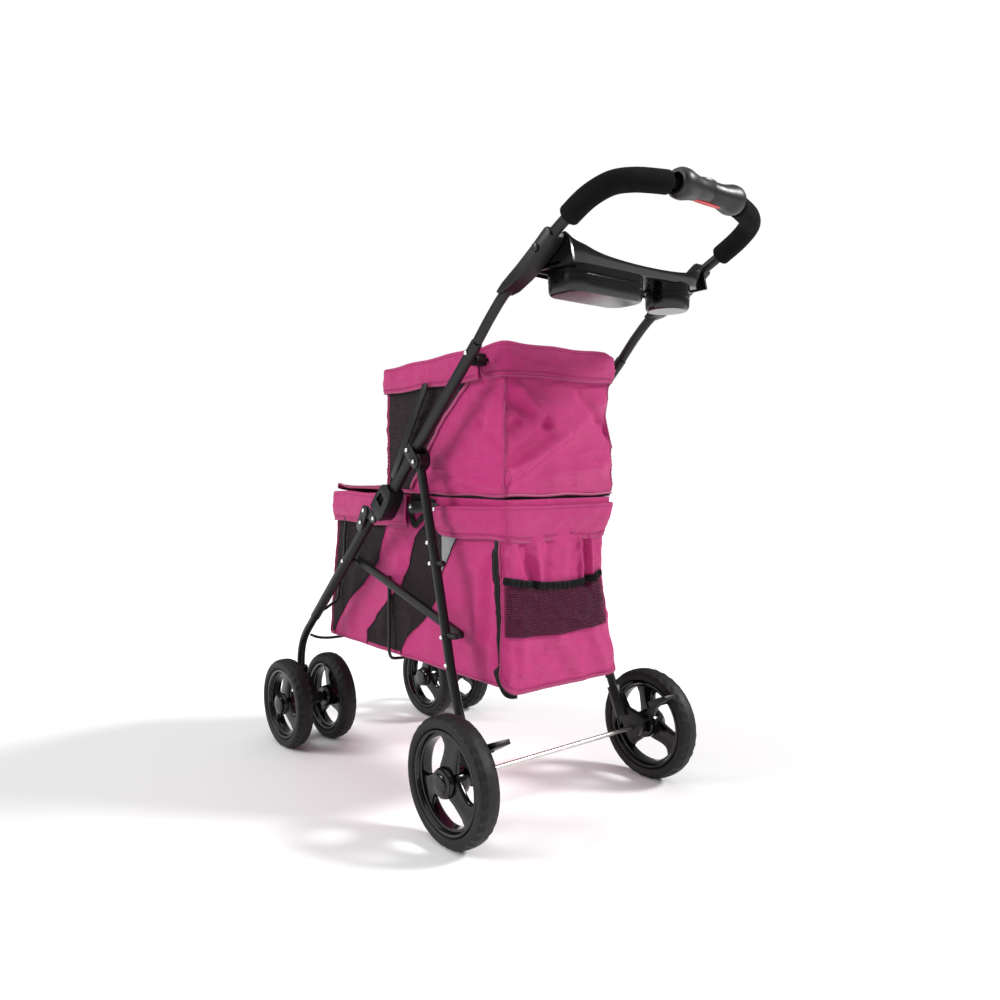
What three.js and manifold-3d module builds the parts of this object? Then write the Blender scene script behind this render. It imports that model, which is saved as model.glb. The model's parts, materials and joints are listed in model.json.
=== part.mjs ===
// Two-deck folding pet stroller, in millimetres, +X forward, +Y to the left, +Z up.
// It is drawn from the ground point under the rear axle, then moved so that the
// origin lies under the middle of its outline.
import * as THREE from 'three';
import * as BufferGeometryUtils from 'three/addons/utils/BufferGeometryUtils.js';
import Module from 'manifold-3d';

const wasm = await Module();
wasm.setup();

// ---- Driving dimensions ----
const GAP = 0.35;
const TUBE_R = 10;
const THIN_TUBE_R = 8;
const WIRE_R = 3;
const SIDES = 10;

// fold hinge (on both side frames) and the straight tube line through it
const HINGE = { x: 331, z: 499 };
const SLOPE = THREE.MathUtils.degToRad(44.3);
const LEG_DROP = -8;
const HANDLE_DROP = -23.5;
const FRAME_Y = 168;
const CASTOR_Y = 175.5;
const LEG_STRAIGHT = 322;
const HANDLE_THICK = 418;

const LINK_FRONT = 139;
const REAR_PIVOT = { x: 171, z: 588 };
const LINK_REAR = { x: 89, z: 301 };
const LINK_Y = [141.5, 150.5];
const REAR_LEG_Y = [169, 178];

const REAR_R = 101;
const REAR_WIDTH = 37;
const REAR_Y = 227.5;
const FRONT_R = 90.6;
const FRONT_WIDTH = 34;
const FRONT_X = 583;
const FRONT_OFFSET = 48.2;
const CASTOR_X = 621;
const AXLE_R = 4;

const BASKET_HALF = 126;
const WALL = 4;
const LOWER = { rear: -8, top: 527, bottom: 222, frontTop: 545, frontBottom: 592 };
const UPPER = { rear: -4, front: 355, bottom: 531, top: 742 };
const LID_HINGE = { x: 364, z: 541 };
const LID_LENGTH = 184;

const TRAY_Z = 866;
const TRAY = { rear: -178, front: -92, half: 150, wall: 2.6 };
const BIN = { x: -136, y: 58, half: [37, 78], floor: 828, corner: 26 };
const CUP = { x: -143, y: -97, r: 35, floor: 828 };

const HUB_HALF = 68;
const GRIP_R = 16;
const OUTLINE_MID_X = 181;

// ---- Finishes ----
const finish = (color, roughness, metalness = 0) =>
  new THREE.MeshStandardMaterial({ color, roughness, metalness });
const POWDER = finish(0x141416, 0.42, 0.3);
const PLASTIC = finish(0x17171a, 0.5);
const GLOSS = finish(0x0d0d0f, 0.18);
const RUBBER = finish(0x1b1b1c, 0.78);
const FOAM = finish(0x111113, 0.95);
const HUB_GREY = finish(0x3a3b40, 0.45);
const STEEL = finish(0xb9bbbf, 0.25, 1);
const FABRIC = finish(0xc42a78, 0.7);
const PAD = finish(0x2a2a2e, 0.9);
const RED = finish(0xc01622, 0.4);

// ---- Helpers ----
const v3 = (x, y, z) => new THREE.Vector3(x, y, z);
const v2 = (x, y) => new THREE.Vector2(x, y);

// a point given along the tube line (positive towards the front wheels) and up from the hinge
function hingePoint(along, up) {
  const c = Math.cos(SLOPE);
  const s = Math.sin(SLOPE);
  return { x: HINGE.x + along * c + up * s, z: HINGE.z - along * s + up * c };
}

function onFrame(along, up, y) {
  const p = hingePoint(along, up);
  return v3(p.x, y, p.z);
}

function cleaned(geometry) {
  const g = geometry.index ? geometry.toNonIndexed() : geometry.clone();
  g.deleteAttribute('normal');
  g.deleteAttribute('uv');
  return BufferGeometryUtils.mergeVertices(g, 1e-4);
}

function toSolid(geometry) {
  const g = cleaned(geometry);
  const vertProperties = new Float32Array(g.attributes.position.array);
  const triVerts = new Uint32Array(g.index.array);
  return new wasm.Manifold(new wasm.Mesh({ numProp: 3, vertProperties, triVerts }));
}

function toGeometry(solid) {
  const mesh = solid.getMesh();
  const g = new THREE.BufferGeometry();
  g.setAttribute('position', new THREE.BufferAttribute(mesh.vertProperties, 3));
  g.setIndex(new THREE.BufferAttribute(mesh.triVerts, 1));
  return g;
}

// joins the shapes in add, then takes away those in cut
function shaped(add, cut = []) {
  let solid = toSolid(add[0]);
  for (const g of add.slice(1)) solid = solid.add(toSolid(g));
  for (const g of cut) solid = solid.subtract(toSolid(g));
  return toGeometry(solid);
}

function disc(r) {
  const shape = new THREE.Shape();
  shape.absarc(0, 0, r, 0, 2 * Math.PI);
  return shape;
}

function ring(r, bore) {
  const shape = disc(r);
  const hole = new THREE.Path();
  hole.absarc(0, 0, bore, 0, 2 * Math.PI);
  shape.holes.push(hole);
  return shape;
}

function sweep(shape, curve, steps, sides = SIDES) {
  return new THREE.ExtrudeGeometry(shape, {
    steps,
    curveSegments: sides / 2,
    bevelEnabled: false,
    extrudePath: curve,
  });
}

const tube = (r, points, steps, sides = SIDES) =>
  sweep(disc(r), new THREE.CatmullRomCurve3(points, false, 'centripetal'), steps, sides);

const bar = (r, a, b, sides = SIDES) => sweep(disc(r), new THREE.LineCurve3(a, b), 1, sides);

// an outline drawn in X and Z, filled from y0 to y1
function plateXZ(shape, y0, y1, curveSegments = 8) {
  const g = new THREE.ExtrudeGeometry(shape, { depth: y1 - y0, bevelEnabled: false, curveSegments });
  g.rotateX(Math.PI / 2);
  g.translate(0, y1, 0);
  return g;
}

// an outline drawn in X and Y, filled from z0 to z1
function plateXY(shape, z0, z1, curveSegments = 8) {
  const g = new THREE.ExtrudeGeometry(shape, { depth: z1 - z0, bevelEnabled: false, curveSegments });
  g.translate(0, 0, z0);
  return g;
}

const outline = (points) => new THREE.Shape(points.map(([x, z]) => v2(x, z)));

function roundedRect(x, y, halfX, halfY, r) {
  const shape = new THREE.Shape();
  shape.absarc(x + halfX - r, y + halfY - r, r, 0, Math.PI / 2);
  shape.absarc(x - halfX + r, y + halfY - r, r, Math.PI / 2, Math.PI);
  shape.absarc(x - halfX + r, y - halfY + r, r, Math.PI, 1.5 * Math.PI);
  shape.absarc(x + halfX - r, y - halfY + r, r, 1.5 * Math.PI, 2 * Math.PI);
  return shape;
}

// a bar outline with round ends at a and b
function capsule(a, b, r) {
  const turn = Math.atan2(b.z - a.z, b.x - a.x);
  const shape = new THREE.Shape();
  shape.absarc(b.x, b.z, r, turn - Math.PI / 2, turn + Math.PI / 2);
  shape.absarc(a.x, a.z, r, turn + Math.PI / 2, turn + 1.5 * Math.PI);
  return shape;
}

// a solid of revolution about the line through (x, z) that runs along Y; the profile is [r, y]
function turned(profile, x, y, z, segments = 28) {
  const g = new THREE.LatheGeometry(profile.map(([r, h]) => v2(r, h)), segments);
  g.translate(x, y, z);
  return g;
}

const pin = (r, x, z, y0, y1, segments = 16) =>
  turned([[0, y0], [r, y0], [r, y1], [0, y1]], x, 0, z, segments);

// the same solid on the other side of the stroller
function mirrored(geometry) {
  const g = cleaned(geometry);
  g.scale(1, -1, 1);
  const index = g.index.array;
  for (let i = 0; i < index.length; i += 3) {
    const keep = index[i];
    index[i] = index[i + 1];
    index[i + 1] = keep;
  }
  return g;
}

const stroller = new THREE.Group();
stroller.position.x = -OUTLINE_MID_X;

function addPiece(name, geometry, material) {
  const g = cleaned(geometry);
  g.computeVertexNormals();
  const mesh = new THREE.Mesh(g, material);
  mesh.name = name;
  stroller.add(mesh);
}

function addPair(name, geometry, material) {
  addPiece(`${name}_left`, geometry, material);
  addPiece(`${name}_right`, mirrored(geometry), material);
}

// ---- Front frame ----
function frontLeg() {
  const top = onFrame(4, LEG_DROP, FRAME_Y);
  const low = onFrame(LEG_STRAIGHT, LEG_DROP, 174);
  const inLeg = onFrame(LEG_STRAIGHT - 12, LEG_DROP, 173.8);
  const bend = [inLeg, v3(574, 174.6, 251), v3(594, 175, 231), v3(610, 175.3, 208), v3(619, CASTOR_Y, 180),
    v3(CASTOR_X, CASTOR_Y, 152), v3(CASTOR_X, CASTOR_Y, 126)];
  const rivet = hingePoint(LINK_FRONT, LEG_DROP);
  return shaped([
    bar(TUBE_R, top, low),
    tube(THIN_TUBE_R, bend, 10),
    pin(4.5, rivet.x, rivet.z, 172, 184.5),
  ]);
}

// a plate outside the leg that carries the fold hinge's pin
function lowerHinge() {
  const far = hingePoint(34, LEG_DROP);
  const boss = hingePoint(24, LEG_DROP);
  return shaped([
    plateXZ(capsule(HINGE, far, 10), 183.4, 186.4),
    pin(5, boss.x, boss.z, FRAME_Y + TUBE_R + 1, 188.4),
    pin(3.4, HINGE.x, HINGE.z, 172, 188.4),
  ]);
}

function rimFrame() {
  const y = BASKET_HALF + 7.5;
  const z = 507;
  const front = 556;
  const corner = 12;
  const side = [v3(150, y, z), v3(280, y, z), v3(420, y, z), v3(front - corner, y, z),
    v3(front - 2.5, y - 2.5, z), v3(front, y - corner, z)];
  const path = [...side, v3(front, 0, z), ...side.map((p) => v3(p.x, -p.y, p.z)).reverse()];
  const drop = [v3(540, 162, 284), v3(541, 150, 290), v3(538, y + 1, 304), v3(528, y, 340), v3(508, y, 400),
    v3(505, y, 438), v3(500, y, 470), v3(506, y, z - 1)];
  const stay = tube(WIRE_R, drop, 12, 6);
  const knobs = [v3(248, 0, z + 1), v3(180, 0, z)].map((p) => pin(8, p.x, p.z, y - 2.5, y + 2.9));
  const right = knobs.map((g) => mirrored(g));
  return shaped([tube(WIRE_R, path, 70, 6), stay, mirrored(stay), ...knobs, ...right]);
}

function toeWire() {
  const half = [v3(590, 166.2, 224), v3(602, 158, 221), v3(600, 147, 212), v3(586, 138, 207), v3(566, 132, 206),
    v3(556, 118, 206)];
  return tube(WIRE_R, [...half, v3(555, 0, 206), ...half.map((p) => v3(p.x, -p.y, p.z)).reverse()], 28, 6);
}

// ---- Baskets and pads ----
function lowerBasket() {
  const L = LOWER;
  const face = outline([[L.rear, L.top], [L.rear, L.bottom + 14], [L.rear + 8, L.bottom], [L.frontBottom - 8, L.bottom],
    [L.frontBottom, L.bottom + 10], [L.frontTop, L.top]]);
  const slant = (L.frontBottom - L.frontTop) / (L.top - L.bottom);
  const room = outline([[L.rear + WALL, L.top + 1], [L.rear + WALL, L.bottom + WALL],
    [L.frontBottom - 2 * WALL - 4, L.bottom + WALL], [L.frontTop - WALL - slant, L.top + 1]]);
  return shaped([plateXZ(face, -BASKET_HALF, BASKET_HALF)],
    [plateXZ(room, WALL - BASKET_HALF, BASKET_HALF - WALL)]);
}

function upperBasket() {
  const U = UPPER;
  const mid = (U.rear + U.front) / 2;
  const half = (U.front - U.rear) / 2;
  return shaped([plateXY(roundedRect(mid, 0, half, BASKET_HALF, 12), U.bottom, U.top, 3)],
    [plateXY(roundedRect(mid, 0, half - WALL, BASKET_HALF - WALL, 10), U.bottom + WALL, U.top + 1, 3)]);
}

function floorPad(rear, front, z, thick) {
  const half = (front - rear) / 2;
  return plateXY(roundedRect((rear + front) / 2, 0, half, BASKET_HALF - WALL - 2, 20), z, z + thick, 4);
}

function lowerLid() {
  const mid = LID_HINGE.x + 2 + LID_LENGTH / 2;
  return plateXY(roundedRect(mid, 0, LID_LENGTH / 2 - 1, BASKET_HALF - 3, 20), LID_HINGE.z - 1.5, LID_HINGE.z + 1.5, 4);
}

// ---- Handle ----
function handleLower() {
  const rivet = hingePoint(-HANDLE_THICK + 24, HANDLE_DROP);
  return shaped([
    bar(TUBE_R, onFrame(-HANDLE_THICK, HANDLE_DROP, 165), onFrame(-4, HANDLE_DROP, FRAME_Y)),
    pin(4.5, rivet.x, rivet.z, 168, 178),
  ]);
}

const HANDLE_STEPS = 30;
const handleRoute = new THREE.CatmullRomCurve3([
  onFrame(-HANDLE_THICK - GAP, HANDLE_DROP, 165),
  v3(-18, 164.4, 809), v3(-52, 164.6, 838), v3(-92, 165.5, 858), v3(-124, 166.5, 879), v3(-158, 168, 901),
  v3(-192, 168.6, 919), v3(-228, 166, 937), v3(-255, 153, 949), v3(-270, 130, 954), v3(-281, 95, 957),
  v3(-289, 55, 959), v3(-292, 1, 960),
], false, 'centripetal');

class Stretch extends THREE.Curve {
  constructor(route, from, to) {
    super();
    this.route = route;
    this.from = from;
    this.to = to;
  }

  getPoint(t, target = new THREE.Vector3()) {
    return this.route.getPointAt(this.from + (this.to - this.from) * t, target);
  }
}

function handleUpper() {
  return sweep(disc(THIN_TUBE_R), handleRoute, HANDLE_STEPS);
}

const GRIP_FROM = 0.515;
const GRIP_TO = 0.848;
const GRIP_STEPS = 12;

function grip() {
  const stretch = new Stretch(handleRoute, GRIP_FROM, GRIP_TO);
  return sweep(ring(GRIP_R, THIN_TUBE_R + 1.2), stretch, GRIP_STEPS, 12);
}

const HUB = { x: -291, z: 959.5 };

function handleHub() {
  const wall = THIN_TUBE_R + 5;
  const profile = [[wall, -HUB_HALF], [17.5, -HUB_HALF + 1], [21, -HUB_HALF + 12], [20, -HUB_HALF + 24], [16.5, -30],
    [16, 0], [16.5, 30], [20, HUB_HALF - 24], [21, HUB_HALF - 12], [17.5, HUB_HALF - 1], [wall, HUB_HALF]];
  const shell = turned([...profile, profile[0]], HUB.x, 0, HUB.z, 24);
  const slot = plateXY(roundedRect(HUB.x, 0, 8, 19, 7), HUB.z + 9, HUB.z + 30, 4);
  const nest = plateXY(roundedRect(HUB.x, 0, 7, 33, 6), HUB.z - 30, HUB.z - 9, 4);
  return shaped([shell], [slot, nest]);
}

const foldButton = () => plateXY(roundedRect(HUB.x, 0, 7, 18, 6.4), HUB.z + 12.2, HUB.z + 16.4, 4);
const foldTrigger = () => plateXY(roundedRect(HUB.x, 0, 6, 32, 5.5), HUB.z - 22.5, HUB.z - 12.2, 4);

// ---- Handle fittings ----
function tray() {
  const { rear, front, half, wall } = TRAY;
  const plate = new THREE.Shape();
  plate.moveTo(rear - 6, half);
  plate.quadraticCurveTo(rear + 16, 0, rear - 6, -half);
  plate.lineTo(front, -half);
  plate.quadraticCurveTo(front + 14, 0, front, half);
  const lip = new THREE.Shape();
  lip.moveTo(rear - 6, half);
  lip.quadraticCurveTo(rear + 16, 0, rear - 6, -half);
  lip.lineTo(rear - 6 + wall, -half);
  lip.quadraticCurveTo(rear + 16 + wall, 0, rear - 6 + wall, half);
  const [hx, hy] = BIN.half;
  const tub = plateXY(roundedRect(BIN.x, BIN.y, hx, hy, BIN.corner), BIN.floor, TRAY_Z, 4);
  const tubRoom = plateXY(roundedRect(BIN.x, BIN.y, hx - wall, hy - wall, BIN.corner - wall), BIN.floor + wall,
    TRAY_Z + 30, 4);
  const cup = new THREE.Shape();
  cup.absarc(CUP.x, CUP.y, CUP.r, 0, 2 * Math.PI);
  const cupRoom = new THREE.Shape();
  cupRoom.absarc(CUP.x, CUP.y, CUP.r - wall, 0, 2 * Math.PI);
  const cheek = plateXZ(outline([[rear - 2, TRAY_Z - wall], [rear + 2, 888], [-166, 910], [-152, 907], [-124, 884],
    [-98, TRAY_Z - wall]]), half - 4, half);
  return shaped([
    cheek,
    mirrored(cheek),
    plateXY(plate, TRAY_Z - wall, TRAY_Z, 8),
    plateXY(lip, TRAY_Z - 1, TRAY_Z + 15, 8),
    tub,
    plateXY(cup, CUP.floor, TRAY_Z, 12),
  ], [tubRoom, plateXY(cupRoom, CUP.floor + wall, TRAY_Z + 30, 12)]);
}

// wedge that hangs the tray on the handle tube
function trayBracket() {
  const side = outline([[-44, 836], [-58, 849], [-94, 870], [-128, 892], [-155, 914], [-166, 908], [-172, 892], [-150, 873],
    [-118, 850], [-78, 834]]);
  const body = plateXZ(side, TRAY.half + GAP, 179);
  const room = sweep(disc(THIN_TUBE_R + 0.9), handleRoute, HANDLE_STEPS);
  return shaped([body], [room]);
}

const trayBolt = () => shaped([pin(6, -136, 886, 179 + GAP, 183, 12)], []);

function upperHinge() {
  const low = hingePoint(-8, HANDLE_DROP - 4);
  return plateXZ(capsule(HINGE, low, 8.5), 178.5, 182.9);
}

function upperHingeCut() {
  return shaped([upperHinge()], [pin(3.9, HINGE.x, HINGE.z, 170, 190)]);
}

function lockSlider() {
  const pts = [[-84, -15], [-76, -6], [-50, -2], [-18, -4], [-17, -41], [-30, -46], [-70, -42], [-84, -34]];
  const side = outline(pts.map(([a, u]) => {
    const p = hingePoint(a, u);
    return [p.x, p.z];
  }));
  const window = outline([[-62, -12], [-42, -9], [-42, -30], [-62, -30]].map(([a, u]) => {
    const p = hingePoint(a, u);
    return [p.x, p.z];
  }));
  const bore = bar(TUBE_R + 1.1, onFrame(-95, HANDLE_DROP, FRAME_Y - 0.6), onFrame(-4, HANDLE_DROP, FRAME_Y));
  return shaped([plateXZ(side, 153, 182.6)], [bore, plateXZ(window, 176, 184)]);
}

function legPlate() {
  const top = hingePoint(-176, HANDLE_DROP + 4);
  return shaped([
    plateXZ(capsule(top, REAR_PIVOT, 11), 178.6, 181.4),
    pin(4, top.x, top.z, 179, 183.6, 12),
    pin(4, REAR_PIVOT.x, REAR_PIVOT.z, 160.5, 183.6, 12),
  ]);
}

// wire round the mouth of the upper basket, held on the handle tubes
function mouthHoop() {
  const y = 124.5;
  const z = 750;
  const front = UPPER.front - 2;
  const rear = UPPER.rear + 3;
  const path = new THREE.CurvePath();
  const c = 16;
  const corners = [v3(front, y, z), v3(rear, y, z), v3(rear, -y, z), v3(front, -y, z)];
  for (let i = 0; i < 4; i += 1) {
    const here = corners[i];
    const next = corners[(i + 1) % 4];
    const before = corners[(i + 3) % 4];
    const into = before.clone().sub(here).setLength(c).add(here);
    const out = next.clone().sub(here).setLength(c).add(here);
    const away = here.clone().sub(next).setLength(c).add(next);
    path.add(new THREE.QuadraticBezierCurve3(into, here, out));
    path.add(new THREE.LineCurve3(out, away));
  }
  const points = [];
  for (const curve of path.curves) {
    points.push(...curve.getPoints(curve instanceof THREE.LineCurve3 ? 1 : 4).slice(0, -1));
  }
  const loop = new THREE.CatmullRomCurve3(points, true, 'catmullrom', 0.05);
  const stay = bar(4, v3(34, 154.4, 751), v3(34, y, 750));
  return shaped([sweep(disc(WIRE_R), loop, 56, 6), stay, mirrored(stay)]);
}

function strut() {
  const low = { x: 303, z: 566 };
  const high = { x: 200, z: 718 };
  return plateXZ(capsule(low, high, 8), 137.3, 140.7, 6);
}

// ---- Rear frame ----
function rearLeg() {
  const [yTop, yLow] = REAR_LEG_Y;
  const path = [v3(168, yTop, 577), v3(148, 170, 509), v3(117, 172, 405), v3(86, 174, 293), v3(74, 175, 250),
    v3(60, 176, 212), v3(42, 177, 166), v3(25, yLow, 126)];
  const eye = pin(12, REAR_PIVOT.x, REAR_PIVOT.z, 161, 177.8, 16);
  const stud = pin(5, LINK_REAR.x, LINK_REAR.z, 152, 184.5, 12);
  const rivets = [[134, 453, 171], [126, 419, 172], [76, 257, 175]].map(([x, z, y]) => pin(4, x, z, y - 4, y + 9.4, 10));
  return shaped([tube(THIN_TUBE_R, path, 14), eye, stud, ...rivets],
    [pin(4.6, REAR_PIVOT.x, REAR_PIVOT.z, 150, 190, 12)]);
}

function axleBracket() {
  const side = new THREE.Shape();
  side.absarc(0, REAR_R, 17, -0.75 * Math.PI, -0.15 * Math.PI);
  side.lineTo(38, 124);
  side.lineTo(44, 152);
  side.lineTo(30, 158);
  side.lineTo(14, 134);
  side.lineTo(-12, 128);
  side.lineTo(-28, 122);
  const hub = pin(13, 0, REAR_R, 187, 206.5, 20);
  const socket = bar(12.5, v3(43, 177.2, 170), v3(22, 178.2, 118));
  const core = bar(THIN_TUBE_R + 0.9, v3(60.2, 176, 212.6), v3(24.6, 178, 124.6));
  return shaped([plateXZ(side, 180, 192), hub, socket], [core, pin(AXLE_R + 0.6, 0, REAR_R, 150, 230, 16),
    plateXZ(capsule({ x: -17, z: 120 }, { x: -60, z: 150 }, 13), 191, 210, 6)]);
}

const rearAxle = () => pin(AXLE_R, 0, REAR_R, -241, 241, 16);

function brakePedal() {
  const side = new THREE.Shape();
  side.absarc(-17, 120, 7, -0.6 * Math.PI, 0.1 * Math.PI);
  side.quadraticCurveTo(-26, 134, -34, 150);
  side.quadraticCurveTo(-42, 158, -60, 160);
  side.lineTo(-61, 154);
  side.quadraticCurveTo(-46, 150, -40, 140);
  side.quadraticCurveTo(-34, 124, -24, 116);
  const tread = outline([[-44, 148], [-38, 157], [-58, 168], [-78, 176], [-81, 169], [-62, 158]]);
  return shaped([plateXZ(side, 192.6, 205.6, 6), plateXZ(tread, 178, 206)]);
}

// ---- Links ----
function linkBar() {
  const front = hingePoint(LINK_FRONT, LEG_DROP);
  const [y0, y1] = LINK_Y;
  return shaped([
    plateXZ(capsule(LINK_REAR, front, 7), y0, y1, 6),
    pin(5, front.x, front.z, y0 + 1, FRAME_Y - TUBE_R + 1.6, 12),
  ]);
}

function floorWire() {
  const y = BASKET_HALF + 8;
  const half = [v3(330, y, 367), v3(330, y, 320), v3(330, y, 262), v3(330, y, 228), v3(330, y - 5, 217),
    v3(330, y - 16, 214)];
  const eye = pin(7, 330, 367, y - 2.6, y + 5.9, 12);
  const wire = tube(WIRE_R, [...half, v3(330, 0, 214), ...half.map((p) => v3(p.x, -p.y, p.z)).reverse()], 32, 6);
  return shaped([wire, eye, mirrored(eye)]);
}

// ---- Castors and wheels ----
function castorFork() {
  const arm = new THREE.Shape();
  arm.absarc(FRONT_X, FRONT_R, 13, Math.PI * 0.9, Math.PI * 1.6);
  arm.lineTo(CASTOR_X + 10, 112);
  arm.lineTo(CASTOR_X + 15, 124);
  arm.lineTo(CASTOR_X - 15, 140);
  arm.lineTo(FRONT_X - 6, 112);
  const post = new THREE.CylinderGeometry(14, 15, 38, 16);
  post.rotateX(Math.PI / 2);
  post.translate(CASTOR_X, CASTOR_Y, 135);
  const core = new THREE.CylinderGeometry(THIN_TUBE_R + 1, THIN_TUBE_R + 1, 60, 16);
  core.rotateX(Math.PI / 2);
  core.translate(CASTOR_X, CASTOR_Y, 154.5);
  return shaped([
    plateXZ(arm, CASTOR_Y - 12, CASTOR_Y + 12, 8),
    post,
    pin(12, FRONT_X, FRONT_R, CASTOR_Y - 26, CASTOR_Y + 26, 16),
    pin(AXLE_R, FRONT_X, FRONT_R, CASTOR_Y - 62, CASTOR_Y + 62, 12),
  ], [core]);
}

// closed tyre section: r outwards, y across
function tyre(r, width, depth, x, y, z, segments) {
  const h = width / 2;
  const inner = r - depth;
  const profile = [[inner, -h + 5], [inner + 5, -h], [r - 9, -h + 1], [r - 2, -h + 7], [r, -h + 13], [r, h - 13],
    [r - 2, h - 7], [r - 9, h - 1], [inner + 5, h], [inner, h - 5]];
  return turned([...profile, profile[0]], x, y, z, segments);
}

// rim ring, three spokes, hub and its domed cap; side is +1 where the cap faces +Y
function rim(r, width, hub, x, y, z, side, segments) {
  const h = width / 2;
  const wall = 7;
  const band = [[r - wall, -h + 1], [r, -h + 2], [r, h - 2], [r - wall, h - 1]];
  const capTop = (h + 4) * side;
  const barrel = turned([...band, band[0]], x, y, z, segments);
  const core = pin(hub, x, z, y - h - 4, y + h + 4, 18);
  const spokes = [];
  for (let i = 0; i < 3; i += 1) {
    const blade = new THREE.Shape();
    blade.moveTo(hub - 3, -0.62 * hub);
    blade.quadraticCurveTo(r * 0.6, -0.42 * hub, r - wall + 2, -0.78 * hub);
    blade.lineTo(r - wall + 2, 0.78 * hub);
    blade.quadraticCurveTo(r * 0.6, 0.42 * hub, hub - 3, 0.62 * hub);
    const g = new THREE.ExtrudeGeometry(blade, { depth: 9, bevelEnabled: false, curveSegments: 4 });
    g.translate(0, 0, -4.5);
    g.rotateZ(Math.PI / 2 + (2 * Math.PI * i) / 3);
    g.rotateX(Math.PI / 2);
    g.translate(x, y + 3 * side, z);
    spokes.push(g);
  }
  const capLow = h * side;
  const capFar = (h + 9) * side;
  const dome = side > 0
    ? [[0, capLow], [hub * 0.8, capLow], [hub * 0.8, capTop], [hub * 0.45, capFar], [0, capFar]]
    : [[0, capFar], [hub * 0.45, capFar], [hub * 0.8, capTop], [hub * 0.8, capLow], [0, capLow]];
  const cap = turned(dome, x, y, z, 18);
  const boreEnd = y + side * (h + 2);
  const boreStart = y - side * (h + 12);
  const bore = pin(AXLE_R + 0.6, x, z, Math.min(boreEnd, boreStart), Math.max(boreEnd, boreStart), 12);
  return shaped([barrel, core, ...spokes, cap], [bore]);
}

function addWheel(name, r, width, x, y, z, side, small) {
  const segments = small ? 20 : 26;
  const depth = small ? 19 : 20;
  const hub = small ? 15 : 17;
  addPiece(`${name}_tyre`, tyre(r, width, depth, x, y, z, segments), RUBBER);
  addPiece(`${name}_rim`, rim(r - depth - 0.6, width - 6, hub, x, y, z, side, segments), GLOSS);
}

// ---- Assembly ----
addPair('front_leg', frontLeg(), POWDER);
addPair('lower_hinge', lowerHinge(), STEEL);
addPiece('rim_frame', rimFrame(), POWDER);
addPiece('toe_wire', toeWire(), POWDER);
addPiece('lower_basket', lowerBasket(), FABRIC);
addPiece('lower_pad', floorPad(LOWER.rear + WALL + 3, LOWER.frontBottom - 36, LOWER.bottom + WALL + 1, 14), PAD);
addPiece('lower_lid', lowerLid(), FABRIC);

addPair('handle_lower', handleLower(), POWDER);
addPair('handle_upper', handleUpper(), POWDER);
addPair('grip', grip(), FOAM);
addPiece('handle_hub', handleHub(), HUB_GREY);
addPiece('fold_button', foldButton(), HUB_GREY);
addPiece('fold_trigger', foldTrigger(), RED);
addPiece('tray', tray(), PLASTIC);
addPair('tray_bracket', trayBracket(), PLASTIC);
addPair('tray_bolt', trayBolt(), STEEL);
addPair('upper_hinge', upperHingeCut(), STEEL);
addPair('lock_slider', lockSlider(), PLASTIC);
addPair('leg_plate', legPlate(), POWDER);
addPiece('mouth_hoop', mouthHoop(), POWDER);
addPair('hoop_strut', strut(), POWDER);
addPiece('upper_basket', upperBasket(), FABRIC);
addPiece('upper_pad', floorPad(UPPER.rear + WALL + 2, UPPER.front - WALL - 2, UPPER.bottom + WALL + 1, 12), PAD);

addPair('rear_leg', rearLeg(), POWDER);
addPair('axle_bracket', axleBracket(), PLASTIC);
addPiece('rear_axle', rearAxle(), STEEL);
addPair('brake_pedal', brakePedal(), PLASTIC);

addPair('link_bar', linkBar(), POWDER);
addPiece('floor_wire', floorWire(), POWDER);

addPair('castor_fork', castorFork(), PLASTIC);
for (const [label, sign] of [['left', 1], ['right', -1]]) {
  addWheel(`rear_wheel_${label}`, REAR_R, REAR_WIDTH, 0, sign * REAR_Y, REAR_R, sign, false);
  for (const [place, out] of [['outer', 1], ['inner', -1]]) {
    const y = sign * (CASTOR_Y + out * FRONT_OFFSET);
    addWheel(`front_wheel_${label}_${place}`, FRONT_R, FRONT_WIDTH, FRONT_X, y, FRONT_R, sign * out, true);
  }
}

export default stroller;
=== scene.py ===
"""Two-deck folding pet stroller: fabric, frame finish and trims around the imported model."""
import json
import math

import bmesh
import bpy
import numpy as np
from bpy.props import FloatProperty, FloatVectorProperty, PointerProperty
from mathutils import Matrix, Vector, noise

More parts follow.
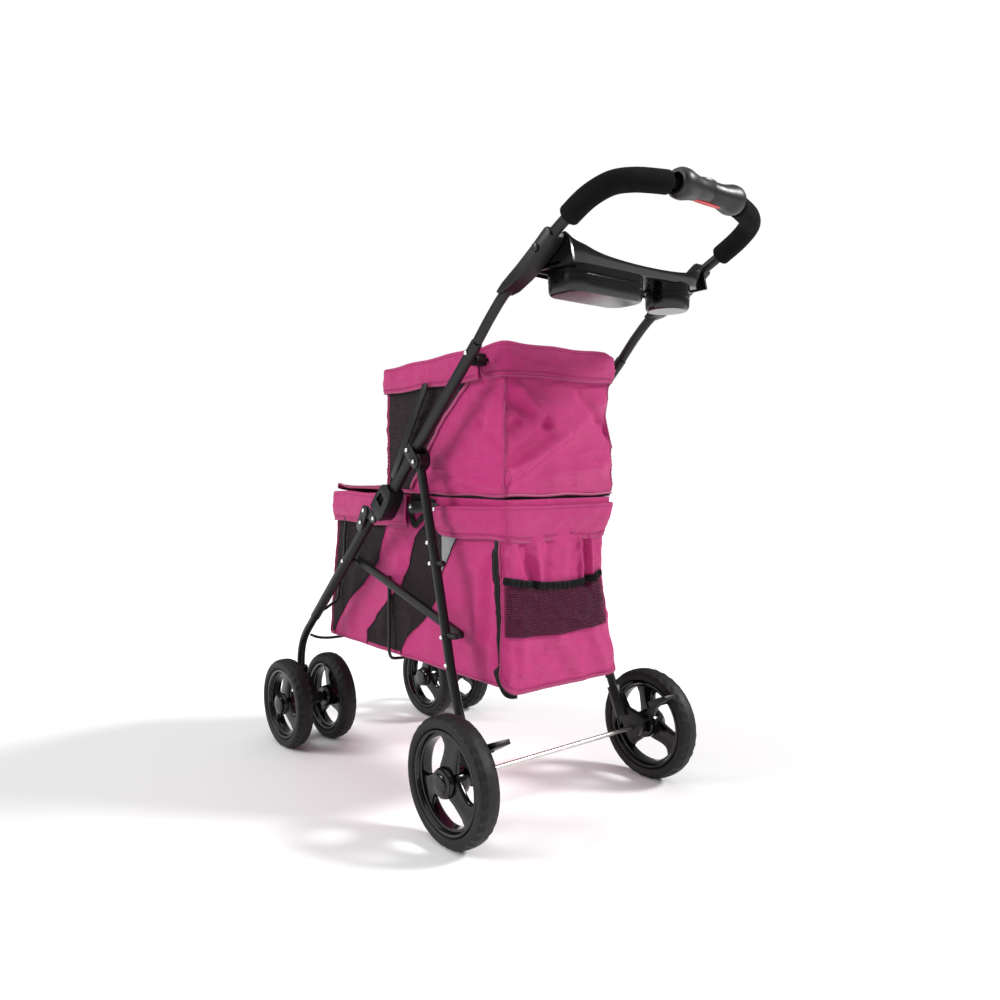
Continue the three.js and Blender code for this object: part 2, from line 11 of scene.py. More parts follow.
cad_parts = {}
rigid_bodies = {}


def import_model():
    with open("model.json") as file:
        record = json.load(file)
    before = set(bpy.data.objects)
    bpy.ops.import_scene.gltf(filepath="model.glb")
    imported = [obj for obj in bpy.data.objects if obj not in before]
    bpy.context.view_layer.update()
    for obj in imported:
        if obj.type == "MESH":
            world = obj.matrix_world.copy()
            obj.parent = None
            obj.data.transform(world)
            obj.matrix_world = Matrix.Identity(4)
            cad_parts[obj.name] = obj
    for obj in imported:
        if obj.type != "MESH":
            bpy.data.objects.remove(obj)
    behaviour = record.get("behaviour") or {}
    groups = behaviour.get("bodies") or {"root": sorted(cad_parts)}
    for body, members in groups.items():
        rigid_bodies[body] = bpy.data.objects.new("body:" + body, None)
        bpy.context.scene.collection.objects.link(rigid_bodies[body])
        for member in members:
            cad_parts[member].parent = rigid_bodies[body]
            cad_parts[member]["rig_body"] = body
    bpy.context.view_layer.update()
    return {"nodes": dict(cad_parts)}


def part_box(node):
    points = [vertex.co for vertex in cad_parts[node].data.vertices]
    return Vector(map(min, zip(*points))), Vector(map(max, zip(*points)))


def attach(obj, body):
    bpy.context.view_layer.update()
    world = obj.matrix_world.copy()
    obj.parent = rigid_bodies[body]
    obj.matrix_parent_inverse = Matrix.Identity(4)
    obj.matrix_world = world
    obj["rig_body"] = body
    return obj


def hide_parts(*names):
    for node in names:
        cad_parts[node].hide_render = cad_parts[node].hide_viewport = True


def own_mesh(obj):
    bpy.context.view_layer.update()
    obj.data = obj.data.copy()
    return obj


bl_info = {
    "name": "Two-deck pet stroller",
    "version": (1, 0, 0),
    "blender": (4, 5, 0),
    "location": "View3D > Sidebar > Stroller",
    "description": "Builds the fabric, frame and wheels of a two-deck folding pet stroller",
    "category": "Add Mesh",
}

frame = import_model()

# ---- Drawing dimensions in millimetres: X forward from the rear axle, Y to the left, Z up ----
MM = 0.001
OUTLINE_MID_X = 181.0
HINGE_X, HINGE_Z = 331.0, 499.0
SLOPE = math.radians(44.3)
LEG_DROP, HANDLE_DROP = -8.0, -23.5
FRAME_Y = 168.0
CASTOR_X, CASTOR_Y = 621.0, 175.5
LEG_STRAIGHT, HANDLE_THICK = 322.0, 418.0
LINK_FRONT = 139.0
REAR_PIVOT = (171.0, 588.0)
LINK_REAR = (89.0, 301.0)
REAR_R, REAR_WIDTH, REAR_Y = 101.0, 37.0, 227.5
FRONT_R, FRONT_WIDTH, FRONT_X, FRONT_OFFSET = 90.6, 34.0, 583.0, 48.2
HALF = 126.0
HUB_X, HUB_Z, HUB_HALF = -291.0, 959.5, 68.0
TRAY_Z = 866.0


def at(x, y, z):
    """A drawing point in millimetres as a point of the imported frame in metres."""
    return Vector(((x - OUTLINE_MID_X) * MM, y * MM, z * MM))


def hinge_point(along, up):
    c, s = math.cos(SLOPE), math.sin(SLOPE)
    return HINGE_X + along * c + up * s, HINGE_Z - along * s + up * c


def on_frame(along, up, y):
    x, z = hinge_point(along, up)
    return (x, y, z)


def smooth(t):
    t = min(max(t, 0.0), 1.0)
    return t * t * (3 - 2 * t)


def table(value, pairs):
    """Reads a value between the pairs of a short list, which rises by its first column."""
    return float(np.interp(value, [p[0] for p in pairs], [p[1] for p in pairs]))


# ---- Settings ----
class StrollerFrameSettings(bpy.types.PropertyGroup):
    tube_radius: FloatProperty(name="Tube radius", description="Outer radius of the thick frame tubes",
                               default=0.010, unit="LENGTH")
    thin_radius: FloatProperty(name="Thin tube radius",
                               description="Outer radius of the handle bow and rear legs", default=0.008,
                               unit="LENGTH")
    grip_radius: FloatProperty(name="Grip radius", description="Outer radius of the foam grips",
                               default=0.016, unit="LENGTH")
    coat_colour: FloatVectorProperty(name="Coat", description="Colour of the powder coat",
                                     default=(0.0046, 0.0046, 0.0050), size=3, subtype="COLOR")
    plastic_colour: FloatVectorProperty(name="Plastic", description="Colour of the moulded plastic",
            default=(0.0040, 0.0040, 0.0044), size=3, subtype="COLOR")
    hub_colour: FloatVectorProperty(name="Hub", description="Colour of the folding hub in the handle",
                                    default=(0.009, 0.0092, 0.0112), size=3, subtype="COLOR")


class StrollerFabricSettings(bpy.types.PropertyGroup):
    cloth_colour: FloatVectorProperty(name="Cloth", description="Colour of the basket cloth",
                                      default=(0.57, 0.018, 0.190), size=3, subtype="COLOR")
    mesh_colour: FloatVectorProperty(name="Mesh", description="Colour of the window mesh",
                                     default=(0.0105, 0.0042, 0.0066), size=3, subtype="COLOR")
    cloth_thickness: FloatProperty(name="Cloth thickness", description="Thickness of the sewn cloth",
                                   default=0.0014, unit="LENGTH")


# ---- Shader groups ----
def new_group(name, inputs, outputs):
    """A shader node group with its named sockets; inputs are (name, default)."""
    tree = bpy.data.node_groups.new(name, "ShaderNodeTree")
    for label, default in inputs:
        tree.interface.new_socket(label, in_out="INPUT",
                                  socket_type="NodeSocketFloat").default_value = default
    for label in outputs:
        tree.interface.new_socket(label, in_out="OUTPUT", socket_type="NodeSocketFloat")
    return tree, tree.nodes.new("NodeGroupInput"), tree.nodes.new("NodeGroupOutput")


def math_node(tree, operation, a, b=None, c=None):
    node = tree.nodes.new("ShaderNodeMath")
    node.operation = operation
    for i, value in enumerate((a, b, c)):
        if value is None:
            continue
        if isinstance(value, (int, float)):
            node.inputs[i].default_value = value
        else:
            tree.links.new(value, node.inputs[i])
    return node.outputs[0]


def grain_group():
    """Fine moulded or sprayed grain, and a broad uneven mask, on object coordinates."""
    tree, into, out = new_group("Grain", [("Grain size", 0.0008), ("Patch size", 0.05)],
                                ["Height", "Patches"])
    place = tree.nodes.new("ShaderNodeTexCoord").outputs["Object"]
    for size, label, detail in (("Grain size", "Height", 2.0), ("Patch size", "Patches", 4.0)):
        texture = tree.nodes.new("ShaderNodeTexNoise")
        tree.links.new(place, texture.inputs["Vector"])
        tree.links.new(math_node(tree, "DIVIDE", 1.0, into.outputs[size]), texture.inputs["Scale"])
        texture.inputs["Detail"].default_value = detail
        tree.links.new(texture.outputs["Fac"], out.inputs[label])
    return tree


def wear_group():
    """Small rubbed spots, as a mask from 0 to 1."""
    tree, into, out = new_group("Rub wear", [("Spot size", 0.012), ("Amount", 0.3)], ["Mask"])
    place = tree.nodes.new("ShaderNodeTexCoord").outputs["Object"]
    texture = tree.nodes.new("ShaderNodeTexNoise")
    tree.links.new(place, texture.inputs["Vector"])
    tree.links.new(math_node(tree, "DIVIDE", 1.0, into.outputs["Spot size"]), texture.inputs["Scale"])
    texture.inputs["Detail"].default_value = 6.0
    edge = math_node(tree, "SUBTRACT", texture.outputs["Fac"], 0.56)
    steep = math_node(tree, "MULTIPLY", edge, 9.0)
    held = math_node(tree, "MINIMUM", math_node(tree, "MAXIMUM", steep, 0.0), 1.0)
    tree.links.new(math_node(tree, "MULTIPLY", held, into.outputs["Amount"]), out.inputs["Mask"])
    return tree


def weave_group():
    """Plain weave with slubs and fine creases across the cloth, on the piece's UV map in metres. Its second
    output is painted shade in the crease valleys and painted light on the ridges.
    """
    inputs = [("Thread", 0.0011), ("Crease", 0.5)]
    tree, into, out = new_group("Weave", inputs, ["Height", "Painted crease shade"])
    place = tree.nodes.new("ShaderNodeTexCoord").outputs["UV"]
    parts = tree.nodes.new("ShaderNodeSeparateXYZ")
    tree.links.new(place, parts.inputs[0])
    turn = math_node(tree, "DIVIDE", 2 * math.pi, into.outputs["Thread"])
    across = math_node(tree, "SINE", math_node(tree, "MULTIPLY", parts.outputs[0], turn))
    along = math_node(tree, "SINE", math_node(tree, "MULTIPLY", parts.outputs[1], turn))
    threads = math_node(tree, "MULTIPLY", across, along)
    crease = []
    for scale_u, scale_v, detail in ((9.0, 150.0, 4.0), (26.0, 34.0, 5.0)):
        mapping = tree.nodes.new("ShaderNodeMapping")
        mapping.inputs["Scale"].default_value = (scale_u, scale_v, 1.0)
        tree.links.new(place, mapping.inputs["Vector"])
        texture = tree.nodes.new("ShaderNodeTexNoise")
        texture.inputs["Scale"].default_value = 1.0
        texture.inputs["Detail"].default_value = detail
        tree.links.new(mapping.outputs[0], texture.inputs["Vector"])
        crease.append(texture.outputs["Fac"])
    lines = math_node(tree, "MULTIPLY", crease[0], into.outputs["Crease"])
    height = math_node(tree, "ADD", math_node(tree, "MULTIPLY", threads, 0.10), lines)
    height = math_node(tree, "MULTIPLY_ADD", crease[1], 0.6, height)
    tree.links.new(height, out.inputs["Height"])
    # Painted shade and light: this colour mask follows the crease noises, dark in the valleys and light on
    # the ridges.
    painted_crease_shade = math_node(tree, "MULTIPLY_ADD", crease[1], 0.55, math_node(tree, "MULTIPLY", crease[0], 0.45))
    tree.links.new(painted_crease_shade, out.inputs["Painted crease shade"])
    return tree


def net_group():
    """Round holes of a knitted mesh in staggered rows, 1 in the threads and 0 in the holes."""
    tree, into, out = new_group("Net", [("Pitch", 0.0024), ("Hole", 0.36)], ["Threads"])
    place = tree.nodes.new("ShaderNodeTexCoord").outputs["UV"]
    parts = tree.nodes.new("ShaderNodeSeparateXYZ")
    tree.links.new(place, parts.inputs[0])
    row = math_node(tree, "DIVIDE", parts.outputs[1], into.outputs["Pitch"])
    shift = math_node(tree, "MULTIPLY", math_node(tree, "MODULO", math_node(tree, "FLOOR", row), 2.0), 0.5)
    column = math_node(tree, "ADD", math_node(tree, "DIVIDE", parts.outputs[0], into.outputs["Pitch"]),
                       shift)
    distances = []
    for value in (row, column):
        local = math_node(tree, "SUBTRACT", math_node(tree, "FRACT", value), 0.5)
        distances.append(math_node(tree, "MULTIPLY", local, local))
    radius = math_node(tree, "SQRT", math_node(tree, "ADD", *distances))
    edge = math_node(tree, "MULTIPLY", math_node(tree, "SUBTRACT", radius, into.outputs["Hole"]), 9.0)
    held = math_node(tree, "MINIMUM", math_node(tree, "MAXIMUM", edge, 0.0), 1.0)
    tree.links.new(held, out.inputs["Threads"])
    return tree


def zigzag_group():
    """Zigzag stripes across a cloth, 0 to 1."""
    tree, into, out = new_group("Zigzag", [("Pitch", 0.0070)], ["Stripe"])
    place = tree.nodes.new("ShaderNodeTexCoord").outputs["UV"]
    parts = tree.nodes.new("ShaderNodeSeparateXYZ")
    tree.links.new(place, parts.inputs[0])
    column = math_node(tree, "FRACT", math_node(tree, "DIVIDE", parts.outputs[0], into.outputs["Pitch"]))
    fold = math_node(tree, "ABSOLUTE", math_node(tree, "SUBTRACT", column, 0.5))
    row = math_node(tree, "MULTIPLY", math_node(tree, "DIVIDE", parts.outputs[1], into.outputs["Pitch"]),
                    1.6)
    phase = math_node(tree, "FRACT", math_node(tree, "ADD", row, math_node(tree, "MULTIPLY", fold, 1.6)))
    tree.links.new(math_node(tree, "GREATER_THAN", phase, 0.5), out.inputs["Stripe"])
    return tree


GROUPS = {}
MATERIALS = {}


def effect(material, name, **values):
    """Puts a shared group in a material and returns its outputs by name."""
    node = material.node_tree.nodes.new("ShaderNodeGroup")
    node.node_tree = GROUPS[name]
    for label, value in values.items():
        node.inputs[label.replace("_", " ")].default_value = value
    return node.outputs


def bump(material, shader, height, distance, strength=1.0):
    node = material.node_tree.nodes.new("ShaderNodeBump")
    node.inputs["Strength"].default_value = strength
    node.inputs["Distance"].default_value = distance
    material.node_tree.links.new(height, node.inputs["Height"])
    material.node_tree.links.new(node.outputs[0], shader.inputs["Normal"])


def tinted(material, shader, mask, low, high):
    """Base colour between two colours by a mask."""
    ramp = material.node_tree.nodes.new("ShaderNodeMix")
    ramp.data_type = "RGBA"
    ramp.inputs[6].default_value = (*low, 1.0)
    ramp.inputs[7].default_value = (*high, 1.0)
    material.node_tree.links.new(mask, ramp.inputs[0])
    material.node_tree.links.new(ramp.outputs[2], shader.inputs["Base Color"])


def rough_range(material, shader, mask, low, high):
    value = math_node(material.node_tree, "MULTIPLY_ADD", mask, high - low, low)
    material.node_tree.links.new(value, shader.inputs["Roughness"])


def shaded(colour, factor):
    return tuple(min(1.0, c * factor) for c in colour)


def surface(name, colour, constants):
    material = bpy.data.materials.new(name)
    material.use_nodes = True
    material.diffuse_color = (*colour, 1.0)
    shader = material.node_tree.nodes["Principled BSDF"]
    shader.inputs["Base Color"].default_value = (*colour, 1.0)
    for label, value in constants.items():
        shader.inputs[label].default_value = value
    MATERIALS[name] = material
    return material, shader


def hard_material(name, colour, rough, grain, depth, patch=0.05, spread=0.25, wear=0.0, **constants):
    """Painted metal or plastic: grain bump, uneven gloss and a little rub wear."""
    material, shader = surface(name, colour, {k.replace("_", " "): v for k, v in constants.items()})
    out = effect(material, "Grain", Grain_size=grain, Patch_size=patch)
    bump(material, shader, out["Height"], depth)
    mask = out["Patches"]
    if wear:
        rubbed = effect(material, "Rub wear", Amount=wear)["Mask"]
        mask = math_node(material.node_tree, "ADD", mask, rubbed)
    tinted(material, shader, mask, shaded(colour, 0.8), shaded(colour, 1.35))
    rough_range(material, shader, out["Patches"], rough * (1 - spread), rough * (1 + spread))
    return material


def cloth_material(name, colour, rough, thread, crease, depth, **constants):
    material, shader = surface(name, colour, {k.replace("_", " "): v for k, v in constants.items()})
    out = effect(material, "Weave", Thread=thread, Crease=crease)
    bump(material, shader, out["Height"], depth)
    # Painted shade and light on the creases: the base colour is darker in the crease valleys and lighter on
    # the ridges.
    tinted(material, shader, out["Painted crease shade"], shaded(colour, 0.84), shaded(colour, 1.14))
    rough_range(material, shader, out["Painted crease shade"], rough - 0.06, rough + 0.06)
    return material, shader


def net_material(name, colour, pitch, hole, solid=0.0):
    """Knitted mesh: dark threads with open holes. The part-opaque holes are painted darker than the threads,
    as painted shade seen through them.
    """
    material, shader = surface(name, colour, {"Roughness": 0.75, "Specular IOR Level": 0.3})
    threads = effect(material, "Net", Pitch=pitch, Hole=hole)["Threads"]
    bump(material, shader, threads, 0.0004)
    # Painted shade: the holes take a darker colour than the threads.
    tinted(material, shader, threads, shaded(colour, 0.6), shaded(colour, 1.5))
    if solid < 1.0:
        cover = math_node(material.node_tree, "MULTIPLY_ADD", threads, 1.0 - solid, solid)
        material.node_tree.links.new(cover, shader.inputs["Alpha"])
    return material


# ---- Mesh helpers ----
def link(name, mesh):
    obj = bpy.data.objects.new(name, mesh)
    bpy.context.scene.collection.objects.link(obj)
    return obj


def mesh_piece(name, vertices, faces, materials, smooth_faces=True):
    mesh = bpy.data.meshes.new(name)
    mesh.from_pydata([tuple(v) for v in vertices], [], faces)
    for material in materials:
        mesh.materials.append(MATERIALS[material])
    mesh.polygons.foreach_set("use_smooth", [smooth_faces] * len(mesh.polygons))
    mesh.update()
    return link(name, mesh)


def baked(obj):
    """The evaluated mesh with its modifiers taken off."""
    graph = bpy.context.evaluated_depsgraph_get()
    mesh = bpy.data.meshes.new_from_object(obj.evaluated_get(graph))
    obj.modifiers.clear()
    obj.data = mesh
    return obj


def outward(obj, merge=1e-6):
    """Merges doubles and turns every face outwards."""
    work = bmesh.new()
    work.from_mesh(obj.data)
    bmesh.ops.remove_doubles(work, verts=work.verts, dist=merge)
    bmesh.ops.recalc_face_normals(work, faces=work.faces)
    work.to_mesh(obj.data)
    work.free()
    return obj


def sharp_edges(obj, degrees=35):
    """Smooth shading that keeps its edges sharper than the angle."""
    obj.data.polygons.foreach_set("use_smooth", [True] * len(obj.data.polygons))
    obj.data.set_sharp_from_angle(angle=math.radians(degrees))
    return obj


def spline(points, per=8):
    """Centripetal curve through the points, as a dense list."""
    p = [Vector(q) for q in points]
    p = [2 * p[0] - p[1], *p, 2 * p[-1] - p[-2]]
    dense = []
    for i in range(1, len(p) - 2):
        a, b, c, d = p[i - 1:i + 3]
        knots = [0.0]
        for m, n in ((a, b), (b, c), (c, d)):
            knots.append(knots[-1] + max((n - m).length, 1e-9) ** 0.5)
        t0, t1, t2, t3 = knots
        for k in range(per):
            t = t1 + (t2 - t1) * k / per
            ab = a * ((t1 - t) / (t1 - t0)) + b * ((t - t0) / (t1 - t0))
            bc = b * ((t2 - t) / (t2 - t1)) + c * ((t - t1) / (t2 - t1))
            cd = c * ((t3 - t) / (t3 - t2)) + d * ((t - t2) / (t3 - t2))
            left = ab * ((t2 - t) / (t2 - t0)) + bc * ((t - t0) / (t2 - t0))
            right = bc * ((t3 - t) / (t3 - t1)) + cd * ((t - t1) / (t3 - t1))
            dense.append(left * ((t2 - t) / (t2 - t1)) + right * ((t - t1) / (t2 - t1)))
    dense.append(p[-2])
    return dense


def portion(points, start, end, count):
    """Evenly spaced points between two shares of a path's length."""
    steps = np.array([0.0] + [(b - a).length for a, b in zip(points, points[1:])]).cumsum()
    co = np.array([list(q) for q in points])
    wanted = np.linspace(start, end, count) * steps[-1]
    return [Vector([np.interp(w, steps, co[:, k]) for k in range(3)]) for w in wanted]


def mirror_y(points):
    return [Vector((q[0], -q[1], q[2])) for q in points]


def loft(rings, closed=False, cap=True):
    """Vertices and faces of a tube through rings of equal count."""
    count = len(rings[0])
    vertices = [v for ring in rings for v in ring]
    faces = []
    last = len(rings) if closed else len(rings) - 1
    for i in range(last):
        a, b = i * count, ((i + 1) % len(rings)) * count
        for k in range(count):
            n = (k + 1) % count
            faces.append((a + k, a + n, b + n, b + k))
    if cap and not closed:
        faces.append(tuple(reversed(range(count))))
        faces.append(tuple((len(rings) - 1) * count + k for k in range(count)))
    return vertices, faces


def sweep(points, section, closed=False, turn=None):
    """Rings of a section carried along the points without twist. section(i, count) gives (side, up) pairs."""
    p = [Vector(q) for q in points]
    n = len(p)
    tangents = []
    for i in range(n):
        a = p[(i - 1) % n] if closed or i > 0 else p[i]
        b = p[(i + 1) % n] if closed or i < n - 1 else p[i]
        tangents.append((b - a).normalized())
    up = Vector(turn) if turn else Vector((0, 0, 1))
    if abs(up.dot(tangents[0])) > 0.95:
        up = Vector((0, 1, 0))
    rings = []
    for i in range(n):
        up = (up - tangents[i] * up.dot(tangents[i])).normalized()
        side = tangents[i].cross(up)
        rings.append([p[i] + side * a + up * b for a, b in section(i, n)])
    return rings


def circle(radius, sides):
    return [(radius * math.cos(2 * math.pi * k / sides), radius * math.sin(2 * math.pi * k / sides))
            for k in range(sides)]


def tube_data(points, radius, sides=20, closed=False, soft_end=0.0):
    """A round tube in millimetres; soft_end rounds its two ends."""
    p = [Vector(q) for q in points]
    scale = [1.0] * len(p)
    if soft_end and not closed:
        for end, other in ((0, 1), (-1, -2)):
            direction = (p[end] - p[other]).normalized()
            extra, sizes = [], []
            for share in (0.35, 0.7, 0.92, 1.0):
                angle = share * math.pi / 2
                extra.append(p[end] + direction * soft_end * (math.sin(angle) - 1))
                sizes.append(1 - soft_end / radius * (1 - math.cos(angle)))
            if end == 0:
                p = [*reversed(extra), *p[1:]]
                scale = [*reversed(sizes), *scale[1:]]
            else:
                p = [*p[:-1], *extra]
                scale = [*scale[:-1], *sizes]
    rings = sweep(p, lambda i, n: circle(radius * scale[i], sides), closed)
    return loft(rings, closed)


def joined(parts):
    """One list of vertices and faces from several."""
    vertices, faces = [], []
    for v, f in parts:
        start = len(vertices)
        vertices += list(v)
        faces += [tuple(i + start for i in face) for face in f]
    return vertices, faces


def placed(name, data, materials, degrees=35):
    """A piece from vertices in drawing millimetres."""
    vertices, faces = data
    obj = mesh_piece(name, [at(*v) for v in vertices], faces, materials)
    return sharp_edges(outward(obj), degrees)


def lathe_data(profile, x, y, z, segments=64, axis="Y"):
    """A closed ring of (radius, height) turned about a line through the point."""
    rings = []
    for k in range(segments):
        a = 2 * math.pi * k / segments
        c, s = math.cos(a), math.sin(a)
        if axis == "Y":
            rings.append([Vector((x + r * c, y + h, z + r * s)) for r, h in profile])
        else:
            rings.append([Vector((x + r * c, y + r * s, z + h)) for r, h in profile])
    return loft(rings, closed=True)


def block(outline, y0, y1):
    """An outline in X and Z filled from y0 to y1."""
    rings = [[Vector((x, y, z)) for x, z in outline] for y in (y0, y1)]
    return loft(rings)


def bevelled(obj, width, segments=2, degrees=30):
    modifier = obj.modifiers.new("Edges", "BEVEL")
    modifier.width = width * MM
    modifier.segments = segments
    modifier.limit_method = "ANGLE"
    modifier.angle_limit = math.radians(degrees)
    return sharp_edges(baked(obj), 32)


def refined(node, material, width=0.8):
    """A copy of a CAD node with merged faces and rounded edges, standing in its place."""
    source = frame["nodes"][node]
    obj = link(f"{node}_shell", source.data.copy())
    work = bmesh.new()
    work.from_mesh(obj.data)
    bmesh.ops.remove_doubles(work, verts=work.verts, dist=1e-5)
    bmesh.ops.dissolve_limit(work, angle_limit=math.radians(1.0), verts=work.verts, edges=work.edges)
    work.to_mesh(obj.data)
    work.free()
    obj.data.materials.clear()
    obj.data.materials.append(MATERIALS[material])
    for polygon in obj.data.polygons:
        polygon.material_index = 0
    bevelled(obj, width)
    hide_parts(node)
    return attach(obj, source["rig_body"])


def finish_piece(obj, body, slot, *nodes):
    if nodes:
        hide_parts(*nodes)
    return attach(obj, body)


# ---- Repeats with geometry nodes ----
def repeat_tree(name, along_path):
    """Small rounded bodies on points, or every so far along a path; it ends in plain faces."""
    tree = bpy.data.node_groups.new(name, "GeometryNodeTree")
    face = tree.interface
    face.new_socket("Geometry", in_out="INPUT", socket_type="NodeSocketGeometry")
    for label, value in (("Spacing", 0.004), ("Length", 0.002), ("Width", 0.001), ("Height", 0.0006)):
        socket = face.new_socket(label, in_out="INPUT", socket_type="NodeSocketFloat")
        socket.default_value = value
        socket.subtype = "DISTANCE"
    face.new_socket("Segments", in_out="INPUT", socket_type="NodeSocketInt").default_value = 8
    face.new_socket("Finish", in_out="INPUT", socket_type="NodeSocketMaterial")
    face.new_socket("Geometry", in_out="OUTPUT", socket_type="NodeSocketGeometry")
    add = tree.nodes.new
    wire = tree.links.new
    into, out = add("NodeGroupInput"), add("NodeGroupOutput")
    lay = add("GeometryNodeInputNamedAttribute")
    lay.data_type = "FLOAT_VECTOR"
    lay.inputs["Name"].default_value = "lay_normal"
    body = add("GeometryNodeMeshUVSphere")
    body.inputs["Radius"].default_value = 0.5
    wire(into.outputs["Segments"], body.inputs["Segments"])
    wire(into.outputs["Segments"], body.inputs["Rings"])
    size = add("ShaderNodeCombineXYZ")
    for i, label in enumerate(("Length", "Width", "Height")):
        wire(into.outputs[label], size.inputs[i])
    shape = add("GeometryNodeTransform")
    wire(body.outputs["Mesh"], shape.inputs["Geometry"])
    wire(size.outputs[0], shape.inputs["Scale"])
    spread = add("GeometryNodeInstanceOnPoints")
    if along_path:
        curve, even = add("GeometryNodeMeshToCurve"), add("GeometryNodeResampleCurve")
        even.mode = "LENGTH"
        wire(into.outputs["Geometry"], curve.inputs["Mesh"])
        wire(curve.outputs[0], even.inputs["Curve"])
        wire(into.outputs["Spacing"], even.inputs["Length"])
        wire(even.outputs[0], spread.inputs["Points"])
        turn = add("FunctionNodeAxesToRotation")
        turn.primary_axis, turn.secondary_axis = "X", "Z"
        wire(add("GeometryNodeInputTangent").outputs[0], turn.inputs["Primary Axis"])
        wire(lay.outputs["Attribute"], turn.inputs["Secondary Axis"])
        wire(turn.outputs[0], spread.inputs["Rotation"])
    else:
        wire(into.outputs["Geometry"], spread.inputs["Points"])
        turn = add("FunctionNodeAlignRotationToVector")
        turn.axis = "Z"
        wire(lay.outputs["Attribute"], turn.inputs["Vector"])
        wire(turn.outputs[0], spread.inputs["Rotation"])
    wire(shape.outputs[0], spread.inputs["Instance"])
    whole, soft = add("GeometryNodeRealizeInstances"), add("GeometryNodeSetShadeSmooth")
    paint = add("GeometryNodeSetMaterial")
    wire(spread.outputs[0], whole.inputs[0])
    wire(whole.outputs[0], soft.inputs["Geometry"])
    wire(soft.outputs[0], paint.inputs["Geometry"])
    wire(into.outputs["Finish"], paint.inputs["Material"])
    wire(paint.outputs[0], out.inputs["Geometry"])
    return tree


def repeats(name, tree, paths, material, spacing=4.0, length=2.4, width=0.9, height=0.7, segments=6):
    """Runs a repeat tree over paths of (point, normal) in drawing millimetres and gives a plain mesh."""
    points, normals, edges = [], [], []
    for path in paths:
        start = len(points)
        for q, n in path:
            points.append(at(*q))
            normals.append(Vector(n).normalized())
        if tree == "Along path":
            edges += [(start + i, start + i + 1) for i in range(len(path) - 1)]
    mesh = bpy.data.meshes.new(name)
    mesh.from_pydata(points, edges, [])
    lay = mesh.attributes.new("lay_normal", "FLOAT_VECTOR", "POINT")
    lay.data.foreach_set("vector", [c for n in normals for c in n])
    obj = link(name, mesh)
    modifier = obj.modifiers.new("Repeat", "NODES")
    group = GROUPS[tree]
    modifier.node_group = group
    values = {"Spacing": spacing * MM, "Length": length * MM, "Width": width * MM, "Height": height * MM,
              "Segments": segments, "Finish": MATERIALS[material]}
    for item in group.interface.items_tree:
        if item.item_type == "SOCKET" and item.in_out == "INPUT" and item.name in values:
            modifier[item.identifier] = values[item.name]
    baked(obj)
    if "lay_normal" in obj.data.attributes:
        obj.data.attributes.remove(obj.data.attributes["lay_normal"])
    return obj


# ---- Basket walls ----
class Loop:
    """The outline of a basket at each height. s runs along it in millimetres from the middle of the
    rear wall, positive to the left."""

    def __init__(self, rear, front, side, corner, pinch):
        self.rear, self.front, self.side = rear, front, side
        self.corner, self.pinch = corner, pinch

    def sharp(self, a, front):
        if a <= HALF:
            return Vector((self.rear, a))
        if a <= HALF + self.side:
            return Vector((self.rear + (a - HALF) / self.side * (front - self.rear), HALF))
        return Vector((front, 2 * HALF + self.side - a))

    def at(self, s, z):
        """(x, y, normal x, normal y) on the outline."""
        front = self.front(z)
        sign, a, r = (1, s, self.corner) if s >= 0 else (-1, -s, self.corner)
        point = self.sharp(a, front)
        normal = Vector((-1, 0)) if a <= HALF else Vector((0, 1)) if a <= HALF + self.side else Vector((1,
                0))
        for corner in (HALF, HALF + self.side):
            if abs(a - corner) < r:
                t = (a - corner + r) / (2 * r)
                p0, p1, p2 = (self.sharp(corner + d, front) for d in (-r, 0, r))
                point = p0 * (1 - t) ** 2 + p1 * 2 * t * (1 - t) + p2 * t * t
                slope = (p1 - p0) * (1 - t) + (p2 - p1) * t
                normal = Vector((-slope.y, slope.x)).normalized()
                if normal.dot(point - Vector(((self.rear + front) / 2, 0))) < 0:
                    normal = -normal
        if sign < 0:
            fade = 1 - smooth((point.x - self.rear) / 150)
            point.y *= 1 - table(z, self.pinch) / HALF * fade
        return point.x, point.y * sign, normal.x, normal.y * sign

    def side_s(self, x, z):
        """s of a point x on the left side wall."""
        return HALF + (x - self.rear) / (self.front(z) - self.rear) * self.side


LOWER_TOP, LOWER_BOTTOM = 527.0, 222.0
UPPER_TOP, UPPER_BOTTOM = 745.0, 531.0
LOWER = Loop(-8.0, lambda z: 545.0 + 47.0 * (LOWER_TOP - z) / (LOWER_TOP - LOWER_BOTTOM), 553.0, 13.0,
             [(222, 0), (241, 0), (310, 17), (400, 36), (460, 34), (512, 8), (530, 6)])
UPPER = Loop(-4.0, lambda z: 355.0, 359.0, 12.0,
             [(531, 0), (617, 2), (665, 17), (692, 12), (724, 8), (745, 4)])

